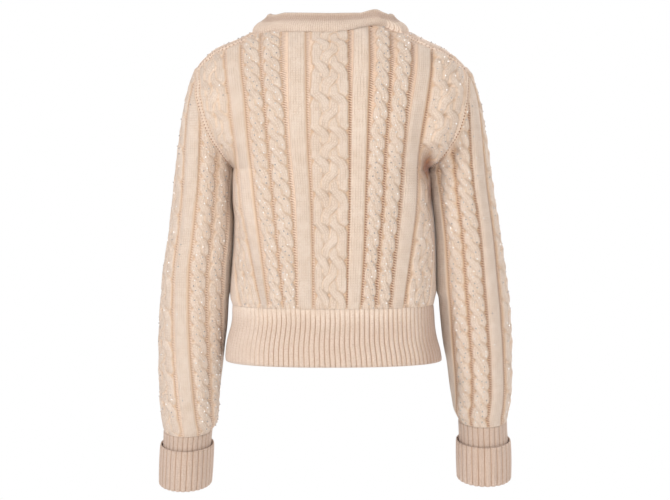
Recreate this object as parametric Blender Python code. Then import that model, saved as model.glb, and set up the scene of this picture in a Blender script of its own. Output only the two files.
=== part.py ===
"""Cropped cable-knit wool cardigan, hollow, in the form it keeps when it is worn.

Metres in the model, millimetres in the tables below. +Z up, the front faces -Y, the
wearer's left is +X. z = 0 is the high point of the shoulder, beside the neck.
Each cut or knitted piece is its own closed shell of cloth, and pieces that are sewn
together stop 0.3 mm apart.
"""
import math

import bmesh
import bpy
import numpy as np
from mathutils import Matrix, Vector

MM = 0.001
WALL = 3.0            # thickness of the plain chunky knit
SEAM = 0.3            # gap between sewn pieces

SHOULDER_TIP_Z = -50.0    # top of the armhole
UNDERARM_Z = -208.0       # bottom of the armhole
ARMHOLE_BACK_Y = 64.0     # how far the armhole reaches to the back
ARMHOLE_FRONT_Y = 72.0    # and to the front
SHOULDER_SEAM_ROLL = 5.0  # degrees that the shoulder seam sits behind the ridge at the neck

HEM_SEAM_Z = -408.0       # knit changes to rib
HEM_Z = -492.0
BACK_NECK_Z = -9.0
FRONT_NECK_Z = -86.0

BAND_LOW, BAND_HIGH = -14.0, 16.0   # the under band's reach across the centre front
LAP = 3.4                 # the over band lies this far outside the under band
LAP_START = 75.0          # where the right front starts to rise over the left

BUTTON_R, BUTTON_T = 8.5, 3.4
BUTTON_Z = (-150.0, -226.0, -302.0, -378.0, -454.0)

# The body's horizontal sections: half widths to the wearer's left and right, depths to the
# back and the front, and the exponent that rounds them (2 is an ellipse, 3 is nearer a
# box), from the neck to the hem. Between the shoulder tip and the underarm the width is
# that of the body with the root of the sleeve.
BODY = dict(
    columns=("z", "left", "right", "back", "front", "round"),
    rows=(
        (2.0, 108.0, 109.0, 52.0, 42.0, 2.3),
        (-5.0, 120.0, 124.0, 58.0, 49.0, 2.3),
        (-15.0, 141.0, 143.0, 65.0, 58.0, 2.35),
        (-27.0, 169.0, 169.0, 71.0, 67.0, 2.4),
        (-39.0, 184.0, 186.0, 76.0, 75.0, 2.5),
        (-50.0, 194.5, 198.5, 80.0, 81.0, 2.6),
        (-62.0, 202.0, 208.0, 84.0, 88.0, 2.7),
        (-78.0, 208.5, 217.0, 89.0, 96.0, 2.8),
        (-100.0, 211.0, 220.0, 95.0, 103.0, 3.0),
        (-121.0, 208.5, 218.0, 98.0, 107.0, 3.0),
        (-140.0, 201.0, 212.0, 99.0, 109.0, 3.0),
        (-160.0, 187.0, 199.0, 99.0, 109.0, 3.0),
        (-175.0, 172.0, 184.0, 99.0, 108.0, 3.0),
        (-190.0, 157.0, 167.0, 98.0, 107.0, 3.0),
        (-200.0, 147.0, 155.0, 98.0, 106.0, 3.0),
        (-208.0, 142.0, 148.0, 97.0, 105.0, 3.0),
        (-230.0, 143.0, 147.0, 96.0, 103.0, 2.95),
        (-253.0, 143.0, 148.0, 94.0, 101.0, 2.9),
        (-281.0, 140.0, 152.0, 92.0, 98.0, 2.8),
        (-313.0, 141.0, 155.0, 90.0, 96.0, 2.7),
        (-343.0, 144.0, 156.0, 90.0, 96.0, 2.6),
        (-375.0, 147.0, 157.0, 93.0, 98.0, 2.55),
        (-398.0, 148.0, 157.0, 96.5, 100.0, 2.5),
        (-408.0, 146.0, 156.0, 96.0, 99.0, 2.5),
        (-425.0, 146.0, 157.0, 95.0, 98.0, 2.45),
        (-440.0, 148.0, 158.0, 96.0, 98.0, 2.45),
        (-458.0, 153.0, 161.0, 98.0, 99.0, 2.4),
        (-476.0, 156.0, 166.0, 100.0, 100.0, 2.4),
        (-492.0, 157.0, 169.0, 100.0, 100.0, 2.4),
    ),
)

# The neckline as a drop below the high shoulder point, by the angle round the neck:
# 0 is the centre back, 90 the side, 180 the centre front.
NECKLINE = dict(
    columns=("angle", "z"),
    rows=((0.0, BACK_NECK_Z), (40.0, -7.5), (70.0, -3.5), (90.0, -0.5), (104.0, -2.5),
          (126.0, -11.0), (145.0, -31.0), (158.0, -59.0), (169.0, -79.0), (180.0, FRONT_NECK_Z)),
)

# The neckband leans in towards the neck and stands up, by the same angle.
NECKBAND = dict(
    columns=("angle", "inward", "upward"),
    rows=((0.0, 13.0, 26.0), (45.0, 16.0, 26.0), (90.0, 26.0, 24.0), (130.0, 21.0, 23.0),
          (180.0, 13.0, 25.0)),
)

# The sleeves below the armhole, as tilted rings round the arm's line: outer and inner reach
# from the centre plane at the ring's height, half depth, how far the ring's middle lies
# forward (-) or back, and the ring's forward tilt in degrees (its back edge hangs lower).
SLEEVE_LEFT = dict(
    columns=("z", "outer", "inner", "half_depth", "middle_y", "tilt"),
    rows=(
        (-255.0, 236.0, 147.0, 54.0, 2.0, 0.0),
        (-285.0, 239.5, 145.5, 55.0, 2.0, 0.0),
        (-313.0, 243.0, 146.5, 56.0, 1.5, 0.0),
        (-349.0, 249.5, 148.5, 56.5, 0.0, 1.0),
        (-380.0, 253.0, 150.5, 56.0, -2.0, 2.0),
        (-410.0, 256.0, 152.5, 55.0, -5.0, 3.0),
        (-440.0, 258.5, 154.5, 53.0, -9.0, 4.5),
        (-470.0, 260.0, 158.5, 51.0, -13.0, 6.0),
        (-500.0, 261.0, 162.0, 49.0, -18.0, 7.0),
        (-530.0, 261.0, 166.0, 47.0, -23.0, 8.0),
        (-560.0, 260.5, 169.0, 45.0, -28.0, 8.5),
        (-585.0, 259.5, 171.5, 43.0, -32.0, 9.0),
        (-597.0, 257.5, 175.0, 41.0, -34.0, 9.0),
        (-605.0, 255.0, 179.5, 39.0, -35.0, 9.0),
        (-640.0, 257.0, 183.0, 38.0, -40.5, 9.0),
        (-690.0, 260.0, 186.5, 38.0, -48.5, 9.0),
    ),
)
SLEEVE_RIGHT = dict(
    columns=SLEEVE_LEFT["columns"],
    rows=(
        (-255.0, 247.0, 157.0, 54.0, 2.0, 0.0),
        (-285.0, 252.0, 159.5, 55.0, 2.0, 0.0),
        (-313.0, 256.5, 161.0, 56.0, 1.5, 0.0),
        (-349.0, 262.0, 162.0, 56.5, 0.0, 1.0),
        (-380.0, 266.5, 163.0, 56.0, -2.0, 2.0),
        (-410.0, 270.5, 165.0, 55.0, -5.0, 3.0),
        (-440.0, 273.0, 168.0, 53.0, -9.0, 4.5),
        (-470.0, 275.0, 172.0, 51.0, -13.0, 6.0),
        (-500.0, 275.5, 178.0, 49.0, -18.0, 7.0),
        (-530.0, 276.5, 182.0, 47.0, -23.0, 8.0),
        (-555.0, 276.0, 186.0, 45.0, -27.5, 8.5),
        (-572.0, 274.5, 189.0, 43.0, -30.5, 9.0),
        (-582.0, 273.0, 193.0, 41.0, -32.0, 9.0),
        (-590.0, 271.5, 196.5, 39.0, -33.0, 9.0),
        (-630.0, 274.0, 198.5, 38.0, -39.5, 9.0),
        (-685.0, 276.0, 200.5, 38.0, -48.0, 9.0),
    ),
)

# The cuffs: where the sleeve's knit changes to rib, the folded bottom edge, the top of the
# turned-back part, and how far the turned-back layer stands outside the rib.
CUFF = dict(
    left=dict(seam_z=-605.0, fold_z=-690.0, turn_z=-627.0),
    right=dict(seam_z=-590.0, fold_z=-682.0, turn_z=-621.0),
    gap=1.4,
)

# The largest folds, as soft troughs in the body: a line of heights and distances from the
# centre (negative on the wearer's right), the trough's depth there and its half width.
FOLDS = (
    dict(where="back", columns=("z", "x", "depth", "half_width"),
         rows=((-30.0, -146.0, 0.0, 12.0), (-80.0, -142.0, 3.5, 13.0), (-140.0, -136.0, 7.5, 14.0),
               (-190.0, -134.0, 8.0, 14.0), (-250.0, -143.0, 4.0, 12.0), (-300.0, -146.0, 0.0, 12.0))),
    dict(where="back", columns=("z", "x", "depth", "half_width"),
         rows=((-150.0, 158.0, 0.0, 12.0), (-180.0, 146.0, 3.0, 12.0), (-225.0, 132.0, 4.0, 12.0),
               (-290.0, 126.0, 0.0, 12.0))),
    dict(where="front", columns=("z", "x", "depth", "half_width"),
         rows=((-90.0, 150.0, 0.0, 13.0), (-140.0, 138.0, 4.5, 14.0), (-200.0, 126.0, 5.5, 14.0),
               (-300.0, 128.0, 0.0, 12.0))),
    dict(where="front", columns=("z", "x", "depth", "half_width"),
         rows=((-80.0, -152.0, 0.0, 13.0), (-135.0, -140.0, 4.0, 14.0), (-210.0, -128.0, 6.0, 15.0),
               (-290.0, -132.0, 0.0, 12.0))),
)

COLOURS = dict(knit=(0.80, 0.655, 0.545), rib=(0.76, 0.61, 0.50), button=(0.86, 0.80, 0.74))

# How finely each piece is divided.
RING = 20            # round an armhole, sleeve or cuff
BACK_COLUMNS = 16
FRONT_COLUMNS = 9
LOWER_ROWS = 7       # from the hem seam to the underarm
SHOULDER_ROWS = (-42.0, -34.0, -26.0, -18.0, -11.0, -5.0)
CAP_ROWS = 5         # from the armhole to the first ring of the sleeve
HEM_ROWS = 3


def smooth_table(table, key):
    """A monotone cubic through the table's column, as a function of its first column."""
    columns = table["columns"]
    points = sorted((row[0], row[columns.index(key)]) for row in table["rows"])
    x = np.array([p[0] for p in points])
    y = np.array([p[1] for p in points])
    h = np.diff(x)
    d = np.diff(y) / h
    m = np.zeros(len(x))
    m[0], m[-1] = d[0], d[-1]
    for i in range(1, len(x) - 1):
        if d[i - 1] * d[i] > 0:
            w1, w2 = 2 * h[i] + h[i - 1], h[i] + 2 * h[i - 1]
            m[i] = (w1 + w2) / (w1 / d[i - 1] + w2 / d[i])

    def at(value):
        value = min(max(value, x[0]), x[-1])
        i = min(max(int(np.searchsorted(x, value)) - 1, 0), len(h) - 1)
        t = (value - x[i]) / h[i]
        return float((1 + 2 * t) * (1 - t) ** 2 * y[i] + t * (1 - t) ** 2 * h[i] * m[i]
                     + t * t * (3 - 2 * t) * y[i + 1] + t * t * (t - 1) * h[i] * m[i + 1])

    return at


body = {k: smooth_table(BODY, k) for k in BODY["columns"][1:]}
neckline_z = smooth_table(NECKLINE, "z")
neckband = {k: smooth_table(NECKBAND, k) for k in NECKBAND["columns"][1:]}
sleeves = {
    "left": {k: smooth_table(SLEEVE_LEFT, k) for k in SLEEVE_LEFT["columns"][1:]},
    "right": {k: smooth_table(SLEEVE_RIGHT, k) for k in SLEEVE_RIGHT["columns"][1:]},
}
folds = [dict(where=f["where"], top=f["rows"][0][0], low=f["rows"][-1][0],
              **{k: smooth_table(f, k) for k in f["columns"][1:]}) for f in FOLDS]


def step(t):
    t = min(max(t, 0.0), 1.0)
    return t * t * (3 - 2 * t)


def power(value, exponent):
    return math.copysign(abs(value) ** exponent, value)


def bare_skin(angle, z):
    """A point of the body's outer face: angle 0 is the centre back, 90 the wearer's left side,
    180 the centre front, and negative angles go round by the wearer's right."""
    a = math.radians(angle)
    width = body["left" if angle >= 0 else "right"](z)
    depth = body["back" if abs(angle) < 90 else "front"](z)
    e = 2 / body["round"](z)
    return Vector((width * power(math.sin(a), e), depth * power(math.cos(a), e), z))


def skin(angle, z):
    """The outer face with its large folds pressed in."""
    p = bare_skin(angle, z)
    for f in folds:
        if (f["where"] == "back") == (abs(angle) < 90) and f["low"] < z < f["top"]:
            away = abs(p.x - f["x"](z)) / f["half_width"](z)
            if away < 2.0:  # a fold fades out before the side seam
                pressed = f["depth"](z) * 0.5 * (1 + math.cos(math.pi * away / 2.0))
                p.y -= math.copysign(pressed * step(abs(p.y) / 30.0), p.y)
    return p


def skin_normal(angle, z):
    da, dz = 0.4, 0.8
    along = skin(angle + da, z) - skin(angle - da, z)
    up = skin(angle, z + dz) - skin(angle, z - dz)
    return up.cross(along).normalized()


def angle_at(x, z, front):
    """The angle at which the section at height z reaches x."""
    width = body["left" if x >= 0 else "right"](z)
    a = math.degrees(math.asin(min(1.0, (abs(x) / width) ** (body["round"](z) / 2))))
    return math.copysign(180.0 - a if front else a, x)


def armhole_y(z, front):
    """How far the armhole's edge is from the arm's middle plane at height z."""
    half = (SHOULDER_TIP_Z - UNDERARM_Z) / 2
    c = 1 - (SHOULDER_TIP_Z - z) / half
    return (ARMHOLE_FRONT_Y if front else ARMHOLE_BACK_Y) * math.sqrt(max(0.0, 1 - c * c))


def edge_angle(z, front):
    """The outer edge of a front or back piece at height z, as an angle from 0 to 180:
    side seam, then armhole, then shoulder seam."""
    if z <= UNDERARM_Z:
        return 90.0
    if z >= SHOULDER_TIP_Z:
        t = (z - SHOULDER_TIP_Z) / -SHOULDER_TIP_Z
        return 90.0 - SHOULDER_SEAM_ROLL * step(t)
    depth = body["front" if front else "back"](z)
    c = (armhole_y(z, front) / depth) ** (body["round"](z) / 2)
    a = math.degrees(math.acos(min(1.0, c)))
    return 180.0 - a if front else a


def lap(x, over):
    """How far the right front is lifted over the left at x, near the centre front."""
    return LAP * step((x + LAP_START) / (LAP_START - 16.0)) if over else 0.0


def shell(name, outer, normals, slot, wall=WALL, ring=False):
    """A closed wall of cloth: the outer face as a grid of points, the inner face a wall's
    thickness behind it along the given normals, and rims between their edges."""
    rows, columns = len(outer), len(outer[0])
    bm = bmesh.new()
    out = [[bm.verts.new(p * MM) for p in row] for row in outer]
    ins = [[bm.verts.new((p - n * wall) * MM) for p, n in zip(row, normal_row)]
           for row, normal_row in zip(outer, normals)]

    def quad(a, b, c, d):
        bm.faces.new((a, b, c))
        bm.faces.new((a, c, d))

    last = columns if ring else columns - 1
    for r in range(rows - 1):
        for c in range(last):
            e = (c + 1) % columns
            quad(out[r][c], out[r][e], out[r + 1][e], out[r + 1][c])
            quad(ins[r][c], ins[r + 1][c], ins[r + 1][e], ins[r][e])
    for c in range(last):
        e = (c + 1) % columns
        quad(out[0][c], ins[0][c], ins[0][e], out[0][e])
        quad(out[-1][c], out[-1][e], ins[-1][e], ins[-1][c])
    if not ring:
        for r in range(rows - 1):
            quad(out[r][0], out[r + 1][0], ins[r + 1][0], ins[r][0])
            quad(out[r][-1], ins[r][-1], ins[r + 1][-1], out[r + 1][-1])
    bmesh.ops.recalc_face_normals(bm, faces=bm.faces)
    if bm.calc_volume(signed=True) < 0:
        bmesh.ops.reverse_faces(bm, faces=bm.faces)
    return add(name, bm, slot)


def add(name, bm, slot):
    mesh = bpy.data.meshes.new(name)
    bm.to_mesh(mesh)
    bm.free()
    mesh.shade_smooth()
    obj = bpy.data.objects.new(name, mesh)
    collection.objects.link(obj)
    mesh.materials.append(material(name, slot))
    return obj


def material(name, slot):
    m = bpy.data.materials.new(name + "_" + slot)
    m.use_nodes = True
    shader = m.node_tree.nodes["Principled BSDF"]
    shader.inputs["Base Color"].default_value = (*COLOURS[slot], 1)
    shader.inputs["Roughness"].default_value = 0.35 if slot == "button" else 0.9
    shader.inputs["Metallic"].default_value = 0.0
    return m


def armhole_rows():
    """Heights of the armhole's points, from the underarm up, one for each step of the ring."""
    half = (SHOULDER_TIP_Z - UNDERARM_Z) / 2
    steps = RING // 2
    return [SHOULDER_TIP_Z - half * (1 - math.cos(math.pi * i / steps)) for i in range(steps, -1, -1)]


def panel_rows():
    lower = [HEM_SEAM_Z + SEAM / 2 + (UNDERARM_Z - HEM_SEAM_Z - SEAM / 2) * i / LOWER_ROWS
             for i in range(LOWER_ROWS)]
    return lower + armhole_rows() + list(SHOULDER_ROWS)


def neck_height(inner, outer, share):
    """The height where the line at that share of the way across a piece meets the neckline."""
    low, high = -130.0, 1.0
    for _ in range(50):
        z = (low + high) / 2
        a = inner(z) + (outer(z) - inner(z)) * share
        if z < neckline_z(abs(a)):
            low = z
        else:
            high = z
    return (low + high) / 2


def panel(name, side, front, over=False):
    """One knitted piece. side is 1 for the wearer's left, -1 for the right and 0 for the back,
    which reaches both ways."""
    columns = BACK_COLUMNS if side == 0 else FRONT_COLUMNS
    gap = SEAM / 2
    neck_row = []
    outer, normals = [], []

    def edge(z):
        inset = math.degrees(gap / max(60.0, body["left"](z)))
        if z <= UNDERARM_Z or z >= SHOULDER_TIP_Z:
            return edge_angle(z, front) + (inset if front else -inset)
        return edge_angle(z, front)

    def ends(z):
        if side == 0:
            return -edge(z), edge(z)
        start = angle_at(side * (BAND_HIGH + SEAM), z, True)
        return start, side * edge(z)

    tops = [neck_height(lambda z: ends(z)[0], lambda z: ends(z)[1], c / columns) - gap
            for c in range(columns + 1)]
    levels = panel_rows()
    low, high = levels[0], levels[-1]
    for z_row in levels + [None]:
        row, normal_row = [], []
        for c in range(columns + 1):
            top = tops[c]
            if z_row is None:
                z = top
            else:
                # rows drop towards a low neckline, so that none of them crosses it
                reach = min(1.0, (top - 3.0 - low) / (high - low))
                z = z_row if reach >= 1.0 else low + (z_row - low) * reach
            first, last = ends(z)
            a = first + (last - first) * c / columns
            p, n = skin(a, z), skin_normal(a, z)
            p = p + n * (lap(p.x, over) if front else 0.0)
            row.append(p)
            normal_row.append(n)
        outer.append(row)
        normals.append(normal_row)
    shell(name, outer, normals, "knit")
    return outer[-1], normals[-1]


def hem(name, side, front, over=False):
    """The deep rib under one piece, with the same columns as the piece above it."""
    columns = BACK_COLUMNS if side == 0 else FRONT_COLUMNS
    outer, normals = [], []
    for r in range(HEM_ROWS + 1):
        z = HEM_Z + (HEM_SEAM_Z - SEAM / 2 - HEM_Z) * r / HEM_ROWS
        inset = math.degrees(SEAM / 2 / 150.0)
        if side == 0:
            first, last = -90.0 + inset, 90.0 - inset
        else:
            first, last = angle_at(side * (BAND_HIGH + SEAM), z, True), side * (90.0 + inset)
        row, normal_row = [], []
        for c in range(columns + 1):
            a = first + (last - first) * c / columns
            p, n = skin(a, z), skin_normal(a, z)
            row.append(p + n * (lap(p.x, over) if front else 0.0))
            normal_row.append(n)
        outer.append(row)
        normals.append(normal_row)
    shell(name, outer, normals, "rib")


def band(name, side, over):
    """A front band, knitted in rib, from the hem up to the neckband."""
    across = [BAND_LOW, 0.0, BAND_HIGH - 1.0, BAND_HIGH] if not over else \
             [-BAND_HIGH, 1.0 - BAND_HIGH, 0.0, -BAND_LOW]
    levels = [HEM_Z, HEM_Z + 42.0] + panel_rows()[:-len(SHOULDER_ROWS) - 3]
    levels = [z for z in levels if z < FRONT_NECK_Z - 12.0] + [None]
    outer, normals = [], []
    for z_row in levels:
        row, normal_row = [], []
        for x in across:
            z = FRONT_NECK_Z - SEAM / 2 if z_row is None else z_row
            a = angle_at(x if abs(x) > 1e-6 else 1e-6, z, True)
            p, n = skin(a, z), skin_normal(a, z)
            row.append(p + n * (LAP if over else 0.0))
            normal_row.append(n)
        outer.append(row)
        normals.append(normal_row)
    shell(name, outer, normals, "rib")


def neckband_piece(back_top, left_top, right_top):
    """One band round the neck, from the under end at the centre front, round by the wearer's
    left, the back and the right, to the over end."""
    def end_row(xs, over):
        return [(angle_at(x if abs(x) > 1e-6 else 1e-6, FRONT_NECK_Z, True), x, over) for x in xs]

    foot = []
    for a, x, over in end_row([BAND_LOW, 0.0], False):
        foot.append((skin(a, FRONT_NECK_Z + SEAM / 2), skin_normal(a, FRONT_NECK_Z), 180.0))
    for points, normals in (left_top,):
        for p, n in zip(points, normals):
            foot.append((p + Vector((0, 0, SEAM)), n, None))
    for points, normals in (back_top,):
        for p, n in list(zip(points, normals))[::-1]:
            foot.append((p + Vector((0, 0, SEAM)), n, None))
    for points, normals in (right_top,):
        for p, n in list(zip(points, normals))[::-1]:
            foot.append((p + Vector((0, 0, SEAM)), n, None))
    for a, x, over in end_row([0.0, -BAND_LOW], True):
        n = skin_normal(a, FRONT_NECK_Z)
        foot.append((skin(a, FRONT_NECK_Z + SEAM / 2) + n * LAP, n, 180.0))
    # the shoulder seams' two edges are one point of the band
    cleaned = [foot[0]]
    for f in foot[1:]:
        if (f[0] - cleaned[-1][0]).length > 2.0:
            cleaned.append(f)
    rows = 3
    outer = [[] for _ in range(rows + 1)]
    for p, n, around in cleaned:
        if around is None:
            around = abs(math.degrees(math.atan2(p.x / 112.0, p.y / (60.0 if p.y > 0 else 98.0))))
        radial = Vector((p.x, p.y, 0)).normalized()
        top = p - radial * neckband["inward"](around) + Vector((0, 0, neckband["upward"](around)))
        rise = top - p
        side = Vector((-radial.y, radial.x, 0))
        out = side.cross(rise).normalized()
        if out.dot(radial) < 0:
            out = -out
        for r in range(rows + 1):
            t = r / rows
            outer[r].append(p.lerp(top, t) + out * (2.2 * 4 * t * (1 - t)))
    normals = []
    for r in range(rows + 1):
        row = []
        for c in range(len(cleaned)):
            up = outer[min(r + 1, rows)][c] - outer[max(r - 1, 0)][c]
            along = outer[r][min(c + 1, len(cleaned) - 1)] - outer[r][max(c - 1, 0)]
            n = along.cross(up).normalized()
            if n.dot(Vector((outer[r][c].x, outer[r][c].y, 0))) < 0:
                n = -n
            row.append(n)
        normals.append(row)
    shell("neckband", outer, normals, "rib", wall=WALL)
    return outer, normals


def sleeve_ring(side, z, turn, grow=0.0):
    """A point of the sleeve's ring: turn 0 is the outer side, 90 the back, 180 the inner side."""
    s = sleeves[side]
    sign = 1 if side == "left" else -1
    out, inner, depth = s["outer"](z), s["inner"](z), s["half_depth"](z)
    a = math.radians(turn)
    tilt = math.radians(s["tilt"](z))
    dx = ((out - inner) / 2 + grow) * math.cos(a)
    dy = (depth + grow) * math.sin(a)
    return Vector((sign * ((out + inner) / 2 + dx), s["middle_y"](z) + dy * math.cos(tilt), z - dy * math.sin(tilt)))


def armhole_point(side, turn):
    """A point of the armhole with the body's normal there, and the way on into the sleeve."""
    half = (SHOULDER_TIP_Z - UNDERARM_Z) / 2
    turn = turn % 360.0
    z = SHOULDER_TIP_Z - half * (1 - math.cos(math.radians(turn)))
    front = turn > 180.0
    sign = 1 if side == "left" else -1
    a = sign * edge_angle(z, front)
    p = skin(a, z)
    if 1.0 < turn < 179.0 or 181.0 < turn < 359.0:
        n = skin_normal(a, z)
    else:
        lift = 4.0 if turn > 90 else -2.0
        dx = bare_skin(a, z + lift) - bare_skin(a, z)
        n = Vector((0, 1, 0)).cross(dx * (1 if lift > 0 else -1)).normalized()
        if n.x * sign < 0:
            n = -n
    return p, n


def sleeve(name, side):
    turns = [360.0 * i / RING for i in range(RING)]
    seam_points = [armhole_point(side, t) for t in turns]
    count = len(turns)
    sign = 1 if side == "left" else -1
    first_z = -255.0
    end_z = CUFF[side]["seam_z"] + SEAM / 2
    strips = []
    for i, turn in enumerate(turns):
        p, n = seam_points[i]
        along = (seam_points[(i + 1) % count][0] - seam_points[i - 1][0]).normalized()
        onward = n.cross(along).normalized()
        if onward.x * sign < 0:
            onward = -onward
        goal = sleeve_ring(side, first_z, turn)
        down = (sleeve_ring(side, first_z - 3.0, turn) - sleeve_ring(side, first_z + 0.0, turn)).normalized()
        reach = (goal - p).length
        # the rims twist most in the pit of the arm, so the gap is wider there
        start = p + onward * SEAM * (1.2 if abs(turn - 180.0) > 30.0 else 3.0)
        t0, t1 = onward * reach * 0.62, down * reach * 0.85
        strip = []
        for r in range(CAP_ROWS + 1):
            t = (r / CAP_ROWS) ** 1.15
            h = (2 * t ** 3 - 3 * t * t + 1, t ** 3 - 2 * t * t + t, -2 * t ** 3 + 3 * t * t, t ** 3 - t * t)
            strip.append(start * h[0] + t0 * h[1] + goal * h[2] + t1 * h[3])
        strips.append(strip)
    outer = [[strips[i][r] for i in range(count)] for r in range(CAP_ROWS + 1)]
    lower = (-290.0, -325.0, -362.0, -400.0, -440.0, -480.0, -520.0, -556.0, end_z + 20.0, end_z + 8.0, end_z)
    for z in lower:
        outer.append([sleeve_ring(side, z, t) for t in turns])
    normals = []
    for r, row in enumerate(outer):
        normal_row = []
        for i, p in enumerate(row):
            if r == 0:
                normal_row.append(seam_points[i][1])
                continue
            up = outer[max(r - 1, 0)][i] - outer[min(r + 1, len(outer) - 1)][i]
            along = row[(i + 1) % count] - row[i - 1]
            n = along.cross(up).normalized()
            middle = sum((q for q in row), Vector()) / count
            if n.dot(p - middle) < 0:
                n = -n
            normal_row.append(n)
        normals.append(normal_row)
    normals[-1] = [ring_normal(side, end_z, t) for t in turns]
    shell(name, outer, normals, "knit", ring=True)


def ring_normal(side, z, turn):
    """Outward from the ring, square to the arm."""
    along = sleeve_ring(side, z, turn + 1.0) - sleeve_ring(side, z, turn - 1.0)
    tilt = math.radians(sleeves[side]["tilt"](z))
    axis = Vector((0, math.sin(tilt), math.cos(tilt)))
    n = along.cross(axis).normalized()
    middle = (sleeve_ring(side, z, 0.0) + sleeve_ring(side, z, 180.0)) / 2
    return n if n.dot(sleeve_ring(side, z, turn) - middle) > 0 else -n


def cuff(name, side):
    """The rib below the sleeve, folded outwards and up over itself, in one piece: the section
    is a J, with the fold at its foot, carried round the wrist."""
    c = CUFF[side]
    seam_z, fold_z, turn_z = c["seam_z"] - SEAM / 2, c["fold_z"], c["turn_z"]
    out = CUFF["gap"] + WALL
    radius = out / 2
    # the J's middle line as pairs of height and distance outside the rib's outer face
    inner = [(seam_z, 0.0), ((seam_z + turn_z) / 2, 0.0), ((turn_z + fold_z) / 2, 0.0),
             (fold_z + radius, 0.0)]
    foot = [(fold_z + radius - radius * math.sin(math.radians(a)), radius - radius * math.cos(math.radians(a)))
            for a in (45.0, 90.0, 135.0)]
    back = [(fold_z + radius, out), ((turn_z + fold_z) / 2, out + 0.6), (turn_z, out + 0.4)]
    line = inner + foot + back
    turns = [360.0 * i / RING for i in range(RING)]
    half = WALL / 2

    def section(turn):
        """The closed outline of the wall at one place round the wrist, as height and distance."""
        first, second = [], []
        for i, (z, d) in enumerate(line):
            z0, d0 = line[max(i - 1, 0)]
            z1, d1 = line[min(i + 1, len(line) - 1)]
            tz, td = z1 - z0, d1 - d0
            size = math.hypot(tz, td)
            nz, nd = -td / size, tz / size
            first.append((z + nz * half, d - half + nd * half))
            second.append((z - nz * half, d - half - nd * half))
        return first + second[::-1]

    bm = bmesh.new()
    loops = []
    for turn in turns:
        loop = []
        for z, d in section(turn):
            p = sleeve_ring(side, z, turn)
            n = ring_normal(side, z, turn)
            loop.append(bm.verts.new((p + n * d) * MM))
        loops.append(loop)
    size = len(loops[0])
    for i in range(len(loops)):
        a, b = loops[i], loops[(i + 1) % len(loops)]
        for k in range(size):
            m = (k + 1) % size
            bm.faces.new((a[k], b[k], b[m]))
            bm.faces.new((a[k], b[m], a[m]))
    bmesh.ops.recalc_face_normals(bm, faces=bm.faces)
    if bm.calc_volume(signed=True) < 0:
        bmesh.ops.reverse_faces(bm, faces=bm.faces)
    add(name, bm, "rib")


def button(name, z):
    """A plain round button lying on the over band, a turned disc with a rounded rim."""
    a = angle_at(1e-6, z, True)
    n = skin_normal(a, z)
    place = skin(a, z) + n * (LAP + SEAM + 0.5)  # the band is faceted, so a little clear of it
    profile = ((0.0, BUTTON_T), (0.45, BUTTON_T), (0.82, BUTTON_T * 0.86), (1.0, BUTTON_T * 0.5), (0.92, 0.0), (0.0, 0.0))
    bm = bmesh.new()
    count = 20
    top, bottom = bm.verts.new((0, 0, profile[0][1] * MM)), bm.verts.new((0, 0, 0))
    rings = [[bm.verts.new((BUTTON_R * r * math.cos(2 * math.pi * i / count) * MM,
                            BUTTON_R * r * math.sin(2 * math.pi * i / count) * MM, h * MM))
              for i in range(count)] for r, h in profile[1:-1]]
    for i in range(count):
        j = (i + 1) % count
        bm.faces.new((top, rings[0][i], rings[0][j]))
        bm.faces.new((bottom, rings[-1][j], rings[-1][i]))
        for low, high in zip(rings[1:], rings[:-1]):
            bm.faces.new((high[i], low[i], low[j]))
            bm.faces.new((high[i], low[j], high[j]))
    turn = n.to_track_quat("Z", "Y").to_matrix().to_4x4()
    bmesh.ops.recalc_face_normals(bm, faces=bm.faces)
    obj = add(name, bm, "button")
    obj.matrix_world = Matrix.Translation(place * MM) @ turn


for old in list(bpy.data.objects):
    bpy.data.objects.remove(old)
collection = bpy.data.collections.new("wool_cardigan")
bpy.context.scene.collection.children.link(collection)

back_top = panel("back", 0, front=False)
left_top = panel("front_left", 1, front=True)
right_top = panel("front_right", -1, front=True, over=True)
hem("hem_rib_back", 0, front=False)
hem("hem_rib_front_left", 1, front=True)
hem("hem_rib_front_right", -1, front=True, over=True)
band("button_band_left", 1, over=False)
band("button_band_right", -1, over=True)
neck_outer, neck_normals = neckband_piece(back_top, left_top, right_top)
for which in ("left", "right"):
    sleeve("sleeve_" + which, which)
    cuff("cuff_" + which, which)
for number, height in enumerate(BUTTON_Z):
    button(f"button_{number + 2}", height)
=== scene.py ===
import math

import bpy
import numpy as np
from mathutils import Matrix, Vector, kdtree


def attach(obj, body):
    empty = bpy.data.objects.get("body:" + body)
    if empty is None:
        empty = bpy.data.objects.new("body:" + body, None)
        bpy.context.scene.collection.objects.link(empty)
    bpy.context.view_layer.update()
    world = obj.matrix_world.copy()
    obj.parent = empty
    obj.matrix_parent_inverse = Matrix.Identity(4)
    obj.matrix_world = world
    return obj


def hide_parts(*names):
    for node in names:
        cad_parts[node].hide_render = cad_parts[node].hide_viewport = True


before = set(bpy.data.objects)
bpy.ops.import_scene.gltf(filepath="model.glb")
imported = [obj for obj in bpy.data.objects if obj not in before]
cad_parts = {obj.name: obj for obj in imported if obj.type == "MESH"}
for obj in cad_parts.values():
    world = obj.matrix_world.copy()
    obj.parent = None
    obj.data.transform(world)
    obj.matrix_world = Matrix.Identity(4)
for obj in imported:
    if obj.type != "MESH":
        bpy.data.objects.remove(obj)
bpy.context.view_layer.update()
rng = np.random.default_rng(7)

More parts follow.
